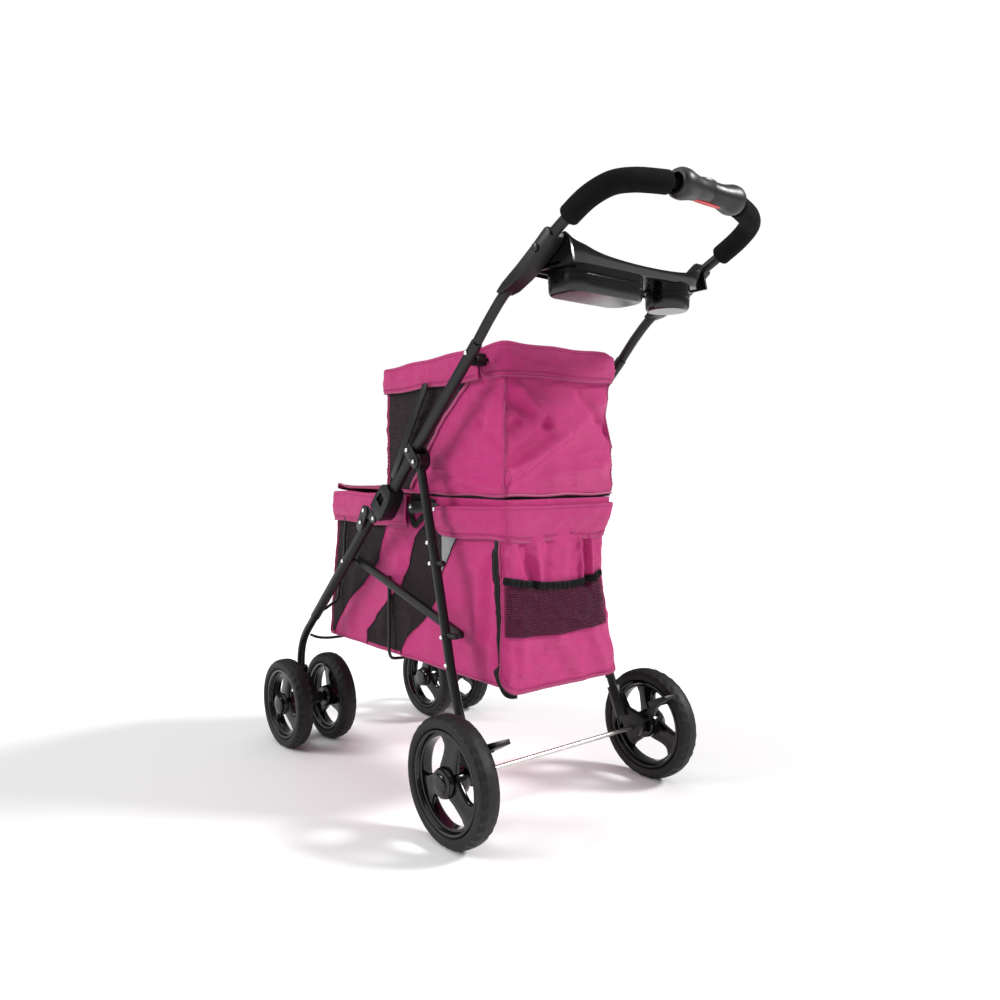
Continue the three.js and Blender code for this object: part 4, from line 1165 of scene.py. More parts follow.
class STROLLER_OT_handle(bpy.types.Operator):
    """Builds the foam grips, the folding hub, the tray and its brackets"""
    bl_idname = "stroller.handle"
    bl_label = "Handle and tray"

    def execute(self, context):
        grip = context.scene.stroller_frame.grip_radius / MM
        route = portion(handle_route(), 0.515, 0.848, 40)
        for side, points in (("left", route), ("right", mirror_y(route))):
            data = tube_data(points, grip, 36, soft_end=5.0)
            finish_piece(placed(f"foam_grip_{side}", data, ["grip_foam"], 60), "handle", "grip_foam",
                         f"grip_{side}")
            sign = 1 if side == "left" else -1
            wedge = [(-46, 839), (-60, 850.5), (-94, 870.5), (-128, 892.5), (-152, 910), (-158, 911),
                     (-164, 904), (-166, 896), (-152, 884), (-128, 867), (-100, 851), (-70, 838),
                     (-52, 835)]
            obj = bevelled(placed(f"tray_wedge_{side}", block(wedge, sign * 150.6, sign * 179),
                                  ["moulded_plastic"]), 2.2, 3)
            finish_piece(obj, "handle", "moulded_plastic", f"tray_bracket_{side}")
            refined(f"tray_bolt_{side}", "hinge_black", 0.8)
        self.hub()
        self.tray()
        return {"FINISHED"}

    def hub(self):
        profile = [(13, -HUB_HALF), (16.6, -HUB_HALF), (18.4, -HUB_HALF + 1.6), (20.6, -HUB_HALF + 7),
                   (21, -HUB_HALF + 12), (20.8, -HUB_HALF + 18), (19.2, -HUB_HALF + 25),
                   (17.4, -34), (16.4, -26), (16.0, -1.2), (15.3, 0), (16.0, 1.2), (16.4, 26), (17.4, 34),
                   (19.2, HUB_HALF - 25), (20.8, HUB_HALF - 18), (21, HUB_HALF - 12),
                   (20.6, HUB_HALF - 7), (18.4, HUB_HALF - 1.6), (16.6, HUB_HALF), (13, HUB_HALF)]
        finish_piece(placed("folding_hub", lathe_data(profile, HUB_X, 0, HUB_Z, 72), ["hub_plastic"]),
                     "handle", "hub_plastic", "handle_hub")
        rings = []
        for share, height in ((1.0, 12.2), (1.0, 16.0), (0.93, 17.0), (0.75, 16.6), (0.3, 16.0)):
            rings.append([Vector((HUB_X + 7.6 * share * math.cos(2 * math.pi * k / 40),
                                  19.5 * share * math.sin(2 * math.pi * k / 40), HUB_Z + height))
                                  for k in range(40)])
        finish_piece(placed("hub_button", loft(rings), ["hub_plastic"]), "fold_button", "hub_plastic",
                     "fold_button")
        rings = []
        for share, height in ((0.80, -17.0), (0.95, -16.8), (1.0, -16.2), (1.0, -12.2)):
            ring = []
            for k in range(40):
                a = 2 * math.pi * k / 40
                c, s = math.cos(a), math.sin(a)
                ring.append(Vector((HUB_X + 4.2 * share * math.copysign(abs(c) ** 0.8, c),
                                    31 * share * math.copysign(abs(s) ** 0.55, s), HUB_Z + height)))
            rings.append(ring)
        finish_piece(placed("hub_trigger", loft(rings), ["red_plastic"]), "fold_trigger", "trigger_plastic",
                     "fold_trigger")

    def tray(self):
        rows = []
        for i in range(49):
            y = -150 + 300 * i / 48
            b = abs(y / 150)
            rear, front = -179 - 3 * b * b + 10 * smooth((b - 0.8) / 0.2), -92 + 7 * (1 - b * b)
            lift = 12 + 8 * b * b + 15 * b ** 6
            profile = [(front, TRAY_Z - 7), (front + 0.5, TRAY_Z - 2), (front - 2.5, TRAY_Z + 0.6)]
            profile += [(front + (rear + 9 - front) * k / 8, TRAY_Z + 1.0) for k in range(1, 9)]
            for k in range(1, 8):
                t = k / 7
                profile.append((rear + 9 - 8 * math.sin(t * 1.5),
                                TRAY_Z + 1 + lift * (1 - math.cos(t * 1.45)) / (1 - math.cos(1.45))))
            rows.append([Vector((x, y, z)) for x, z in profile])
        plate = grid_piece("carry_tray", rows, lambda i, k: 0, ["tray_plastic"],
                           [[(0, 0)] * len(rows[0])] * len(rows), thickness=2.6, wall_side=0.0)
        outward(plate)
        cup = {"x": -143, "y": -97, "half": (35, 35), "corner": 35}
        tub = {"x": -136, "y": 58, "half": (37, 78), "corner": 26}
        shells = []
        for hold in (tub, cup):
            cutter = placed("cutter", loft([self.outline(hold, -2.0, 830), self.outline(hold, -2.0, 890)]),
                            ["tray_plastic"])
            cut = plate.modifiers.new("Opening", "BOOLEAN")
            cut.operation, cut.object, cut.solver = "DIFFERENCE", cutter, "EXACT"
            baked(plate)
            bpy.data.objects.remove(cutter)
            shells.append(self.vessel(hold))
        cheek = [(-181, 864), (-177, 884), (-170, 902), (-163, 908), (-153, 906), (-122, 884), (-94, 866),
                 (-94, 862)]
        shells += [block(cheek, 146.4, 150.0), block(cheek, -150.0, -146.4)]
        obj = placed("tray_vessels", joined(shells), ["tray_plastic"])
        for polygon in plate.data.polygons:
            polygon.material_index = 0
        with bpy.context.temp_override(active_object=plate, selected_editable_objects=[plate, obj],
                                       selected_objects=[plate, obj]):
            bpy.ops.object.join()
        sharp_edges(plate, 30)
        finish_piece(plate, "handle", "moulded_plastic", "tray")

    def outline(self, hold, grow, z):
        (hx, hy), corner = hold["half"], hold["corner"]
        ring = []
        for start, dx, dy in ((0, 1, 1), (90, -1, 1), (180, -1, -1), (270, 1, -1)):
            for k in range(13):
                a = math.radians(start + 7.5 * k - (0.01 if k == 12 else 0))
                ring.append(Vector((hold["x"] + dx * (hx - corner) + (corner + grow) * math.cos(a),
                                    hold["y"] + dy * (hy - corner) + (corner + grow) * math.sin(a), z)))
        return ring

    def vessel(self, hold):
        floor = 828
        levels = [(-5.0, floor + 2.6), (-2.8, floor + 4.5), (-2.6, TRAY_Z - 4), (-2.4, TRAY_Z + 1.2),
                  (-1.2, TRAY_Z + 1.6), (0.6, TRAY_Z + 0.4), (0.6, 856), (-0.5, 855.4),
                  (-0.5, 853.6), (0.3, 853), (0.3, 847), (-0.6, 846.4), (-0.6, 844.6), (0.0, 844),
                  (-0.6, 834), (-2.4, 829.8), (-5.0, floor)]
        return loft([self.outline(hold, grow, z) for grow, z in levels])


WAVE_FRONT = [(220, 568), (247, 558), (296, 513), (347, 437), (397, 382), (458, 359), (530, 352)]
WAVE_MIDDLE = [(217, 431), (255, 426), (293, 383), (355, 301), (396, 270), (450, 252), (476, 222),
               (530, 205)]
WAVE_REAR = [(222, 309), (262, 281), (309, 220), (347, 185), (392, 163), (429, 138), (462, 121), (530, 100)]
UPPER_EDGE = [(519, 288), (560, 250), (615, 200), (671, 151), (720, 97), (751, 54)]


def basket_rows(top, bottom, step, curve):
    """(height, inset) of each row, with a rounded lower edge."""
    count = int(round((top - bottom - curve) / step))
    rows = [(top + (bottom + curve - top) * i / count, 0.0) for i in range(count + 1)]
    for k in range(1, 6):
        a = math.pi / 2 * k / 5
        rows.append((bottom + curve * (1 - math.sin(a)), curve * (1 - math.cos(a))))
    rows.append((bottom - 0.2, curve + 9))
    return rows


def walls(name, loop, bulge, rows, columns_at, material_of, materials):
    """A basket's walls from rows of (height, inset).

    columns_at gives the s values of the left half at a height.
    """
    grid, uvs = [], []
    for z, inset in rows:
        half = columns_at(z)
        s_values = [-s for s in reversed(half[1:])] + half[:-1]
        grid.append([wall_point(loop, bulge, s, z, -inset)[0] for s in s_values])
        uvs.append([(s, z) for s in s_values] + [(half[-1], z)])
    count = len(grid[0])
    half_count = (count + 1) // 2

    def pick(i, k):
        if k >= half_count:
            column = k - half_count
        else:
            column = half_count - 1 - k
        return material_of(column, rows[i][0])

    return grid_piece(name, grid, pick, materials, uvs, closed=True)


def spans(breaks, counts):
    """Columns from break to break."""
    out = [breaks[0]]
    for a, b, n in zip(breaks, breaks[1:], counts):
        out += [a + (b - a) * (k + 1) / n for k in range(n)]
    return out


def collar(name, loop, bulge, s_range, z_low, z_top, out_of, body, closed_ends, roll=26.0, steps=220):
    """A folded cloth band that hangs over the mouth of a basket, with rounded ends and stitched edges."""
    grid, uvs = [], []
    s_start, s_end = s_range
    total = 2 * (2 * HALF + loop.side)

    def wrap(s):
        return s - total if s > total / 2 else s + total if s < -total / 2 else s

    s_values = [s_start + (s_end - s_start) * i / steps for i in range(steps + 1)]

    def edge_lift(s, radius=17.0):
        away = min(s - s_start, s_end - s) if closed_ends else radius
        away = min(max(away, 0.0), radius)
        return radius - math.sqrt(max(radius * radius - (radius - away) ** 2, 0.0))

    def point(s, share):
        """share 0 at the lower edge, 1 at the top edge."""
        w = wrap(s)
        low, top = z_low(w) + edge_lift(s), z_top(w) - 0.25 * edge_lift(s)
        z = low + (top - low) * share
        out = out_of(w, z) + 1.3 * ripple(s, z, 26, 11.0) + 1.6 * math.sin(math.pi * share)
        out += 2.6 * crumple(s * 0.4, z, 24, 13.0) * math.sin(math.pi * min(share * 1.1, 1.0))
        x, y, nx, ny = loop.at(w, z)
        push = bulge(w, min(z, 520 if loop is LOWER else 735)) * 0.35 + out
        return Vector((x + nx * push, y + ny * push, z)), Vector((nx, ny, 0))

    inner = [(-5.5, -roll), (-5.0, -roll * 0.5), (-4.4, -4.0), (-2.6, -0.6), (0.0, 0.9), (2.4, 0.8)]
    for drop_out, drop_z in inner:
        row = []
        for s in s_values:
            q, n = point(s, 1.0)
            reach = out_of(wrap(s), q.z)
            row.append(q + n * (drop_out - reach if drop_out < 0 else (drop_out - 4.0))
                       + Vector((0, 0, drop_z)))
        grid.append(row)
        uvs.append([(s, 900 + drop_z) for s in s_values])
    for share in (1.0, 0.96, 0.9, 0.82, 0.72, 0.62, 0.5, 0.4, 0.3, 0.2, 0.12, 0.05, 0.0):
        grid.append([point(s, share)[0] for s in s_values])
        uvs.append([(s, 60 * share) for s in s_values])
    obj = grid_piece(name, grid, lambda i, k: 0, ["collar_cloth"], uvs, thickness=2.2)
    finish_piece(obj, body, "basket_fabric")

    def run(share, proud, a=0.0, b=1.0, count=160):
        pairs = []
        for i in range(count + 1):
            s = s_start + (s_end - s_start) * (a + (b - a) * i / count)
            q, n = point(s, share)
            pairs.append((q + n * proud, n))
        return pairs

    stitch_rows = [run(0.10, 0.35, 0.012, 0.988), run(0.14, 0.35, 0.014, 0.986),
                   run(0.90, 0.35, 0.01, 0.99)]
    for s0, s1 in ((0.008, 0.010), (0.992, 0.990)) if closed_ends else ():
        end = []
        for k in range(20):
            t = k / 19
            q, n = point(s_start + (s_end - s_start) * (s0 + (s1 - s0) * t), 0.14 + 0.76 * t)
            end.append((q + n * 0.35, n))
        stitch_rows.append(end)
    seam = repeats(f"{name}_stitches", "Along path", stitch_rows, "seam_thread", spacing=4.4, length=3.0,
                   width=1.0, height=0.8)
    edge = placed(f"{name}_binding", tube_data([q for q, _ in run(0.0, -0.6, 0.0, 1.0, 200)], 1.5, 8,
            soft_end=0.4), ["piping_cloth"])
    finish_piece(edge, body, "basket_fabric")
    finish_piece(seam, body, "basket_fabric")
    return [obj, seam, edge], point


class STROLLER_OT_lower_basket(bpy.types.Operator):
    """Sews the lower basket with its wave windows, rear door, zip and net pocket"""
    bl_idname = "stroller.lower_basket"
    bl_label = "Lower basket"

    def execute(self, context):
        soft = []
        corner = LOWER.corner

        def columns(z):
            x_of = [LOWER.side_s(table(z, wave), z) for wave in (WAVE_REAR, WAVE_MIDDLE, WAVE_FRONT)]
            end = HALF + LOWER.side
            breaks = [0, HALF - corner, HALF + corner, *x_of, end - corner, end + corner, end + corner + 12,
                      end + HALF]
            return spans(breaks, [26, 7, 22, 24, 24, 22, 7, 2, 16])

        edges = np.cumsum([26, 7, 22, 24, 24, 22, 7, 2, 16])

        def pick(column, z):
            if z > 500:
                return 0
            band = int(np.searchsorted(edges, column, side="right"))
            if band in (3, 5, 8) and 232 < z < 524:
                return 1
            return 0

        rows = basket_rows(LOWER_TOP, LOWER_BOTTOM, 4.6, 9.0)
        body = walls("lower_basket_walls", LOWER, lower_bulge, rows, columns, pick,
                     ["basket_cloth", "window_mesh"])
        finish_piece(body, "front_frame", "basket_fabric", "lower_basket")
        soft.append(body)
        soft.append(self.floor("lower_basket_base", -8 + 12, 592 - 13, LOWER_BOTTOM + 0.4))
        soft.append(self.patch())
        soft += self.trims()
        soft += self.door()
        made, _ = collar("lower_rear_collar", LOWER, lower_bulge, (-306, 306),
                         lambda s: 462 + 2 * math.cos(s / 26) - (2 if abs(s) < 110 else 0),
                         lambda s: table(abs(s), [(0, 516), (126, 517), (220, 514), (306, 511)]),
                         lambda s, z: 5.0 + 8.0 * smooth((abs(s) - 150) / 130) * smooth((z - 462) / 30)
                         + 2.0 * smooth((abs(s) - 150) / 120), "front_frame", True)
        soft += made
        start = LOWER.side_s(266, 500)
        total = 2 * (2 * HALF + LOWER.side)
        made, _ = collar("lower_front_collar", LOWER, lower_bulge, (start, total - start),
                         lambda s: 469 + 1.5 * math.sin(s / 31), lambda s: 529 + 1.2 * math.sin(s / 23),
                         lambda s, z: 7.0 + 5.0 * smooth((z - 470) / 25), "front_frame", False)
        soft += made
        soft.append(self.notch())
        for piece in soft:
            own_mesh(piece)
        return {"FINISHED"}

    def floor(self, name, rear, front, z):
        rows = [[Vector((rear + (front - rear) * i / 24, -HALF + 11 + (2 * HALF - 22) * k / 14,
                         z - 2.5 * math.sin(math.pi * i / 24) * math.sin(math.pi * k / 14)))
                 for k in range(15)] for i in range(25)]
        uvs = [[(q.x, q.y) for q in row] for row in rows]
        obj = grid_piece(name, rows, lambda i, k: 0, ["basket_cloth"], uvs, thickness=2.5, wall_side=0.0)
        outward(obj)
        return finish_piece(obj, "front_frame", "basket_fabric")

    def patch(self):
        rows, uvs = [], []
        for z in np.linspace(470, 394.5, 18):
            s0, s1 = LOWER.side_s(table(z, WAVE_REAR) + 1, z), LOWER.side_s(167, z)
            s1 = max(s1, s0 + 1.0)
            values = [s0 + (s1 - s0) * k / 10 for k in range(11)]
            rows.append([wall_point(LOWER, lower_bulge, s, z, 1.2)[0] for s in values])
            uvs.append([(s, z) for s in values])
        left = grid_piece("reflective_patch_left", rows, lambda i, k: 0, ["silver_cloth"], uvs,
                          thickness=0.8)
        right = left.copy()
        right.data = left.data.copy()
        right.data.transform(Matrix.Diagonal((1, -1, 1, 1)))
        right.data.flip_normals()
        right.name = "reflective_patch_right"
        bpy.context.scene.collection.objects.link(right)
        with bpy.context.temp_override(active_object=left, selected_editable_objects=[left, right],
                                       selected_objects=[left, right]):
            bpy.ops.object.join()
        left.name = "reflective_patches"
        return finish_piece(left, "front_frame", "reflective_cloth")

    def trims(self):
        made = []
        end = HALF + LOWER.side
        pieces = {"pink": [], "black": [], "thread": []}
        for sign in (1, -1):
            for wave, low, high in ((WAVE_REAR, 224, 470), (WAVE_MIDDLE, 224, 486), (WAVE_FRONT, 224, 472)):
                pairs = [(sign * LOWER.side_s(table(z, wave), z), z) for z in np.linspace(high, low, 70)]
                pieces["black"].append(tube_data([q for q, _ in wall_path(LOWER, lower_bulge, pairs, 0.5)],
                        1.1, 8, soft_end=0.4))
                pairs = [(sign * (LOWER.side_s(table(z, wave),
                        z) + 5.5 * (-1 if wave is not WAVE_MIDDLE else 1)), z) for z in np.linspace(high,
                            low, 70)]
                pieces["thread"].append(wall_path(LOWER, lower_bulge, pairs, 0.4))
            pairs = [(sign * (end - 9), z) for z in np.linspace(470, 228, 50)]
            pieces["pink"].append(tube_data([q for q, _ in wall_path(LOWER, lower_bulge, pairs, 0.8)], 1.9,
                    8, soft_end=0.4))
            pairs = [(sign * s, 226.0) for s in np.linspace(HALF + 22, end - 10, 150)]
            pieces["pink"].append(tube_data([q for q, _ in wall_path(LOWER, lower_bulge, pairs, -0.6)], 2.3,
                    8, soft_end=0.4))
        for label, finish, slot in (("pink", "piping_cloth", "basket_fabric"),
                                    ("black", "black_tape", "binding_tape")):
            obj = placed(f"lower_piping_{label}", joined(pieces[label]), [finish])
            made.append(finish_piece(obj, "front_frame", slot))
        obj = repeats("lower_window_stitches", "Along path", pieces["thread"], "seam_thread", spacing=4.4,
                      length=2.8, width=0.9, height=0.7)
        made.append(finish_piece(obj, "front_frame", "basket_fabric"))
        return made

    def notch(self):
        """Black tape round the open edge by the rim clips."""
        parts = []
        for sign in (1, -1):
            path = [(266, 503), (262, 492), (258, 480), (250, 474), (225, 489), (200, 493), (176, 492),
                    (160, 486)]
            points = spline([(x, sign * 128, z) for x, z in path], 6)
            parts.append(strip_data([(q, (0, sign, 0)) for q in points], 6.0, 1.4))
            top = [(262, sign * 127.4, 519), (225, sign * 127.4, 514), (190, sign * 127.4, 510)]
            parts.append(strip_data([(q, (0, sign, 0)) for q in spline(top, 4)], 13.0, 1.2))
        obj = placed("lower_notch_tape", joined(parts), ["black_tape"])
        return finish_piece(obj, "front_frame", "binding_tape")

    def door_point(self, s, z, out=0.0):
        push = 5.0 + fold_height(DOOR_FOLDS, s, z) * 1.7 + 1.5 * ripple(s, z, 30, 21.0) + 1.3 * crumple(s,
                z, 46, 23.0) + out
        base = lambda a, b: lower_bulge(a, max(b, 240))
        q, n = wall_point(LOWER, base, s, z, push)
        return q, n

    def door(self):
        made = []
        reach, radius, top, bottom = 138.0, 36.0, 502.0, 216.0

        def low(s):
            away = reach - abs(s)
            return bottom if away > radius else bottom + radius - math.sqrt(max(radius ** 2
                    - (radius - away) ** 2, 0.0))

        grid, uvs = [], []
        s_values = [reach * math.sin(t) for t in np.linspace(-math.pi / 2, math.pi / 2, 121)]
        for i in range(66):
            row = []
            for s in s_values:
                z = top + (low(s) - top) * i / 65
                row.append(self.door_point(s, z)[0])
            grid.append(row)
            uvs.append([(s, top + (low(s) - top) * i / 65) for s in s_values])
        obj = grid_piece("rear_door", grid, lambda i, k: 0, ["basket_cloth"], uvs, thickness=1.8)
        made.append(finish_piece(obj, "front_frame", "basket_fabric"))
        rim = [(reach, z) for z in np.linspace(top - 34, bottom + radius, 40)]
        rim += [(reach - radius + radius * math.cos(a), bottom + radius - radius * math.sin(a))
                for a in np.linspace(0, math.pi / 2, 14)[1:]]
        rim += [(s, bottom) for s in np.linspace(reach - radius, 0, 26)[1:]]
        rim += [(-s, z) for s, z in reversed(rim[:-1])]
        path = [self.door_point(s, z, 0.2) for s, z in rim]
        obj = placed("rear_door_binding", tube_data([q for q, _ in path], 2.4, 10, soft_end=0.6),
                     ["piping_cloth"])
        made.append(finish_piece(obj, "front_frame", "basket_fabric"))
        inner = [self.door_point(s * 0.955, z + (5.5 if z < bottom + 30 else 0), 0.5) for s, z in rim]
        obj = repeats("rear_door_stitches", "Along path", [inner], "seam_thread", spacing=4.4, length=2.9,
                      width=0.9, height=0.8)
        made.append(finish_piece(obj, "front_frame", "basket_fabric"))
        made += self.zip_line(reach, radius, bottom)
        made += self.pocket()
        return made

    def zip_line(self, reach, radius, bottom):
        tapes, teeth, pulls = [], [], []
        for sign in (1, -1):
            wide = radius + 9
            line = [(reach + 9, z) for z in np.linspace(464, bottom + radius, 44)]
            line += [(reach - radius + wide * math.cos(a), bottom + radius - (radius + 1.5) * math.sin(a))
                     for a in np.linspace(0, math.pi * 0.5, 20)[1:]]
            path = []
            for s, z in line:
                q, n = wall_point(LOWER, lambda a, b: lower_bulge(a, max(b, 240)), sign * s, z, 1.8)
                path.append((q, n))
            tapes.append(strip_data(path, 7.5, 1.6))
            teeth.append([(q + n * 1.2, n) for q, n in path])
            q, n = path[2]
            out = n
            puller = [q + out * 3.5 + Vector((0, 0, 4)), q + out * 4.5 + Vector((0, 0, -3)),
                      q + out * 4.0 + Vector((0, 0, -14)), q + out * 3.0 + Vector((0, 0, -24))]
            pulls.append(strip_data([(p, out) for p in spline(puller, 4)], 3.4, 2.2))
            pulls.append(strip_data([(q + out * 2.4 + Vector((0, 0, 7)), out),
                                     (q + out * 2.4 + Vector((0, 0, -7)), out)], 5.5, 3.4))
        tape = finish_piece(placed("door_zip_tape", joined(tapes), ["black_tape"]), "front_frame",
                            "binding_tape")
        row = repeats("door_zip_teeth", "Along path", teeth, "moulded_plastic", spacing=2.6, length=1.7,
                      width=5.2, height=1.9)
        finish_piece(row, "front_frame", "binding_tape")
        pull = finish_piece(placed("door_zip_pulls", joined(pulls), ["moulded_plastic"]), "front_frame",
                            "binding_tape")
        return [tape, row, pull]

    def pocket(self):
        made = []

        def top(s):
            return 387 + 15 * ((s - 4) / 124) ** 2

        def low(s):
            return 303 + 6 * ((s - 4) / 124) ** 2

        def point(s, t, extra=0.0):
            z = low(s) + (top(s) - low(s)) * t
            gather = 1.0 * math.sin(s * 2 * math.pi / 10.5 + 2.2 * ripple(s, 0, 40, 5.0)) * t ** 1.5
            sag = 7.0 * math.sin(math.pi * min(1.0, t * 0.9 + 0.05)) * math.cos(math.pi / 2
                    * min(abs(s) / 132, 1.0))
            wave = 2.2 * ripple(s, z, 22, 31.0) * math.sin(math.pi * t) * smooth((132 - abs(s)) / 30)
            return self.door_point(s, z, 2.2 + gather + sag + wave + extra)

        s_values = np.linspace(-112, 129, 150)
        grid = [[point(s, t)[0] for s in s_values] for t in np.linspace(1.0, 0.0, 40)]
        uvs = [[(s * 1.25, low(s) + (top(s) - low(s)) * t) for s in s_values] for t in np.linspace(1.0, 0.0,
                40)]
        obj = grid_piece("pocket_net", grid, lambda i, k: 0, ["pocket_mesh"], uvs, thickness=0.7)
        finish_piece(obj, "front_frame", "mesh_fabric")
        made.append(obj)
        band = [point(s, 0.97, 0.8) for s in np.linspace(-112, 129, 120)]
        tape = placed("pocket_elastic", strip_data(band, 6.0, 2.4), ["black_tape"])
        made.append(finish_piece(tape, "front_frame", "binding_tape"))
        ridges = repeats("pocket_gathers", "Along path", [[(q + n * 0.9, n) for q, n in band]],
                         "black_tape", spacing=3.6, length=2.5, width=12.4, height=2.8)
        made.append(finish_piece(ridges, "front_frame", "binding_tape"))
        foot = [point(s, 0.0, 0.3) for s in np.linspace(-112, 129, 100)]
        seam = repeats("pocket_foot_stitches", "Along path", [foot], "seam_thread", spacing=4.0, length=3.0,
                       width=1.2, height=0.9)
        made.append(finish_piece(seam, "front_frame", "basket_fabric"))
        return made


class STROLLER_OT_upper_basket(bpy.types.Operator):
    """Sews the upper basket with its net window and the two collars"""
    bl_idname = "stroller.upper_basket"
    bl_label = "Upper basket"

    def execute(self, context):
        soft = []
        corner = UPPER.corner
        end = HALF + UPPER.side
        counts = [28, 7, 34, 28, 7, 2, 18]

        def columns(z):
            edge = UPPER.side_s(table(z, UPPER_EDGE), z)
            return spans([0, HALF - corner, HALF + corner, edge, end - corner, end + corner,
                          end + corner + 10, end + HALF], counts)

        edges = np.cumsum(counts)

        def pick(column, z):
            band = int(np.searchsorted(edges, column, side="right"))
            if (band == 3 and z > 538) or (band == 6 and 540 < z < 738):
                return 1
            return 0

        rows = basket_rows(UPPER_TOP, UPPER_BOTTOM, 3.4, 7.0)
        body = walls("upper_basket_walls", UPPER, upper_bulge, rows, columns, pick,
                     ["basket_cloth", "window_mesh"])
        soft.append(finish_piece(body, "handle", "basket_fabric", "upper_basket"))
        grid = [[Vector((7 + 337 * i / 20, -HALF + 10 + (2 * HALF - 20) * k / 14,
                         UPPER_BOTTOM + 0.4 - 2.0 * math.sin(math.pi * i / 20)
                         * math.sin(math.pi * k / 14)))
                 for k in range(15)] for i in range(21)]
        base = grid_piece("upper_basket_base", grid, lambda i, k: 0, ["basket_cloth"],
                          [[(q.x, q.y) for q in row] for row in grid], thickness=2.5, wall_side=0.0)
        soft.append(finish_piece(outward(base), "handle", "basket_fabric"))
        soft += self.trims(end)
        made, _ = collar("upper_rear_collar", UPPER, upper_bulge, (-184, 184),
                         lambda s: 725 + 1.6 * math.sin(s / 29),
                         lambda s: table(s, [(-184, 772), (-126, 769), (-100, 776), (40, 775), (126, 776),
                             (184, 774)]) + 1.0 * math.sin(s / 17),
                         lambda s, z: 5.0, "handle", True, roll=30.0)
        soft += made
        start = UPPER.side_s(57, 740)
        total = 2 * (2 * HALF + UPPER.side)
        made, _ = collar("upper_front_collar", UPPER, upper_bulge, (start, total - start),
                         lambda s: table(abs(s), [(start, 721), (end, 717), (end + HALF, 716)]) + 1.2
                         * math.sin(s / 24),
                         lambda s: table(abs(s),
                             [(start, 775), (start + 60, 771), (end, 762), (end + HALF, 763)]) + 1.0
                             * math.sin(s / 19),
                         lambda s, z: 5.5, "handle", False, roll=24.0)
        soft += made
        for piece in soft:
            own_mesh(piece)
        return {"FINISHED"}

    def trims(self, end):
        made, pink, black, thread = [], [], [], []
        for sign in (1, -1):
            pairs = [(sign * (UPPER.side_s(table(z, UPPER_EDGE), z) - 1.0), z) for z in np.linspace(724,
                    540, 60)]
            pink.append(strip_data(wall_path(UPPER, upper_bulge, pairs, 1.2), 3.6, 2.2))
            pairs = [(sign * (UPPER.side_s(table(z, UPPER_EDGE), z) - 9.0), z) for z in np.linspace(724,
                    540, 60)]
            thread.append(wall_path(UPPER, upper_bulge, pairs, 0.4))
            pairs = [(sign * (HALF + 2), z) for z in np.linspace(726, 537, 60)]
            pink.append(tube_data([q for q, _ in wall_path(UPPER, upper_bulge, pairs, 0.6)], 1.5, 8,
                                  soft_end=0.4))
            thread.append(wall_path(UPPER, upper_bulge,
                                    [(sign * (HALF - 8), z) for z in np.linspace(724, 540, 60)], 0.4))
            pairs = [(sign * (end - 6), z) for z in np.linspace(722, 537, 50)]
            pink.append(tube_data([q for q, _ in wall_path(UPPER, upper_bulge, pairs, 0.6)], 1.7, 8,
                                  soft_end=0.4))
        total = 2 * (2 * HALF + UPPER.side)
        ring = [(-total / 2 + total * i / 320, 533.0) for i in range(320)]
        wavy = [q + Vector((0, 0, 1.0 * math.sin(i * 0.21))) for i,
                (q, _) in enumerate(wall_path(UPPER, upper_bulge, ring, -0.2))]
        pink.append(tube_data(wavy, 2.2, 8, closed=True))
        low = [q + Vector((0, 0, -4.0)) - n * 2.6 for q,
               (_, n) in zip(wavy, wall_path(UPPER, upper_bulge, ring, -0.2))]
        black.append(tube_data(low, 1.7, 8, closed=True))
        for name, parts, finish, slot in (("upper_piping_pink", pink, "piping_cloth", "basket_fabric"),
                ("upper_piping_black", black, "black_tape", "binding_tape")):
            made.append(finish_piece(placed(name, joined(parts), [finish]), "handle", slot))
        obj = repeats("upper_seam_stitches", "Along path", thread, "seam_thread", spacing=4.2, length=2.8,
                      width=0.9, height=0.7)
        made.append(finish_piece(obj, "handle", "basket_fabric"))
        return made


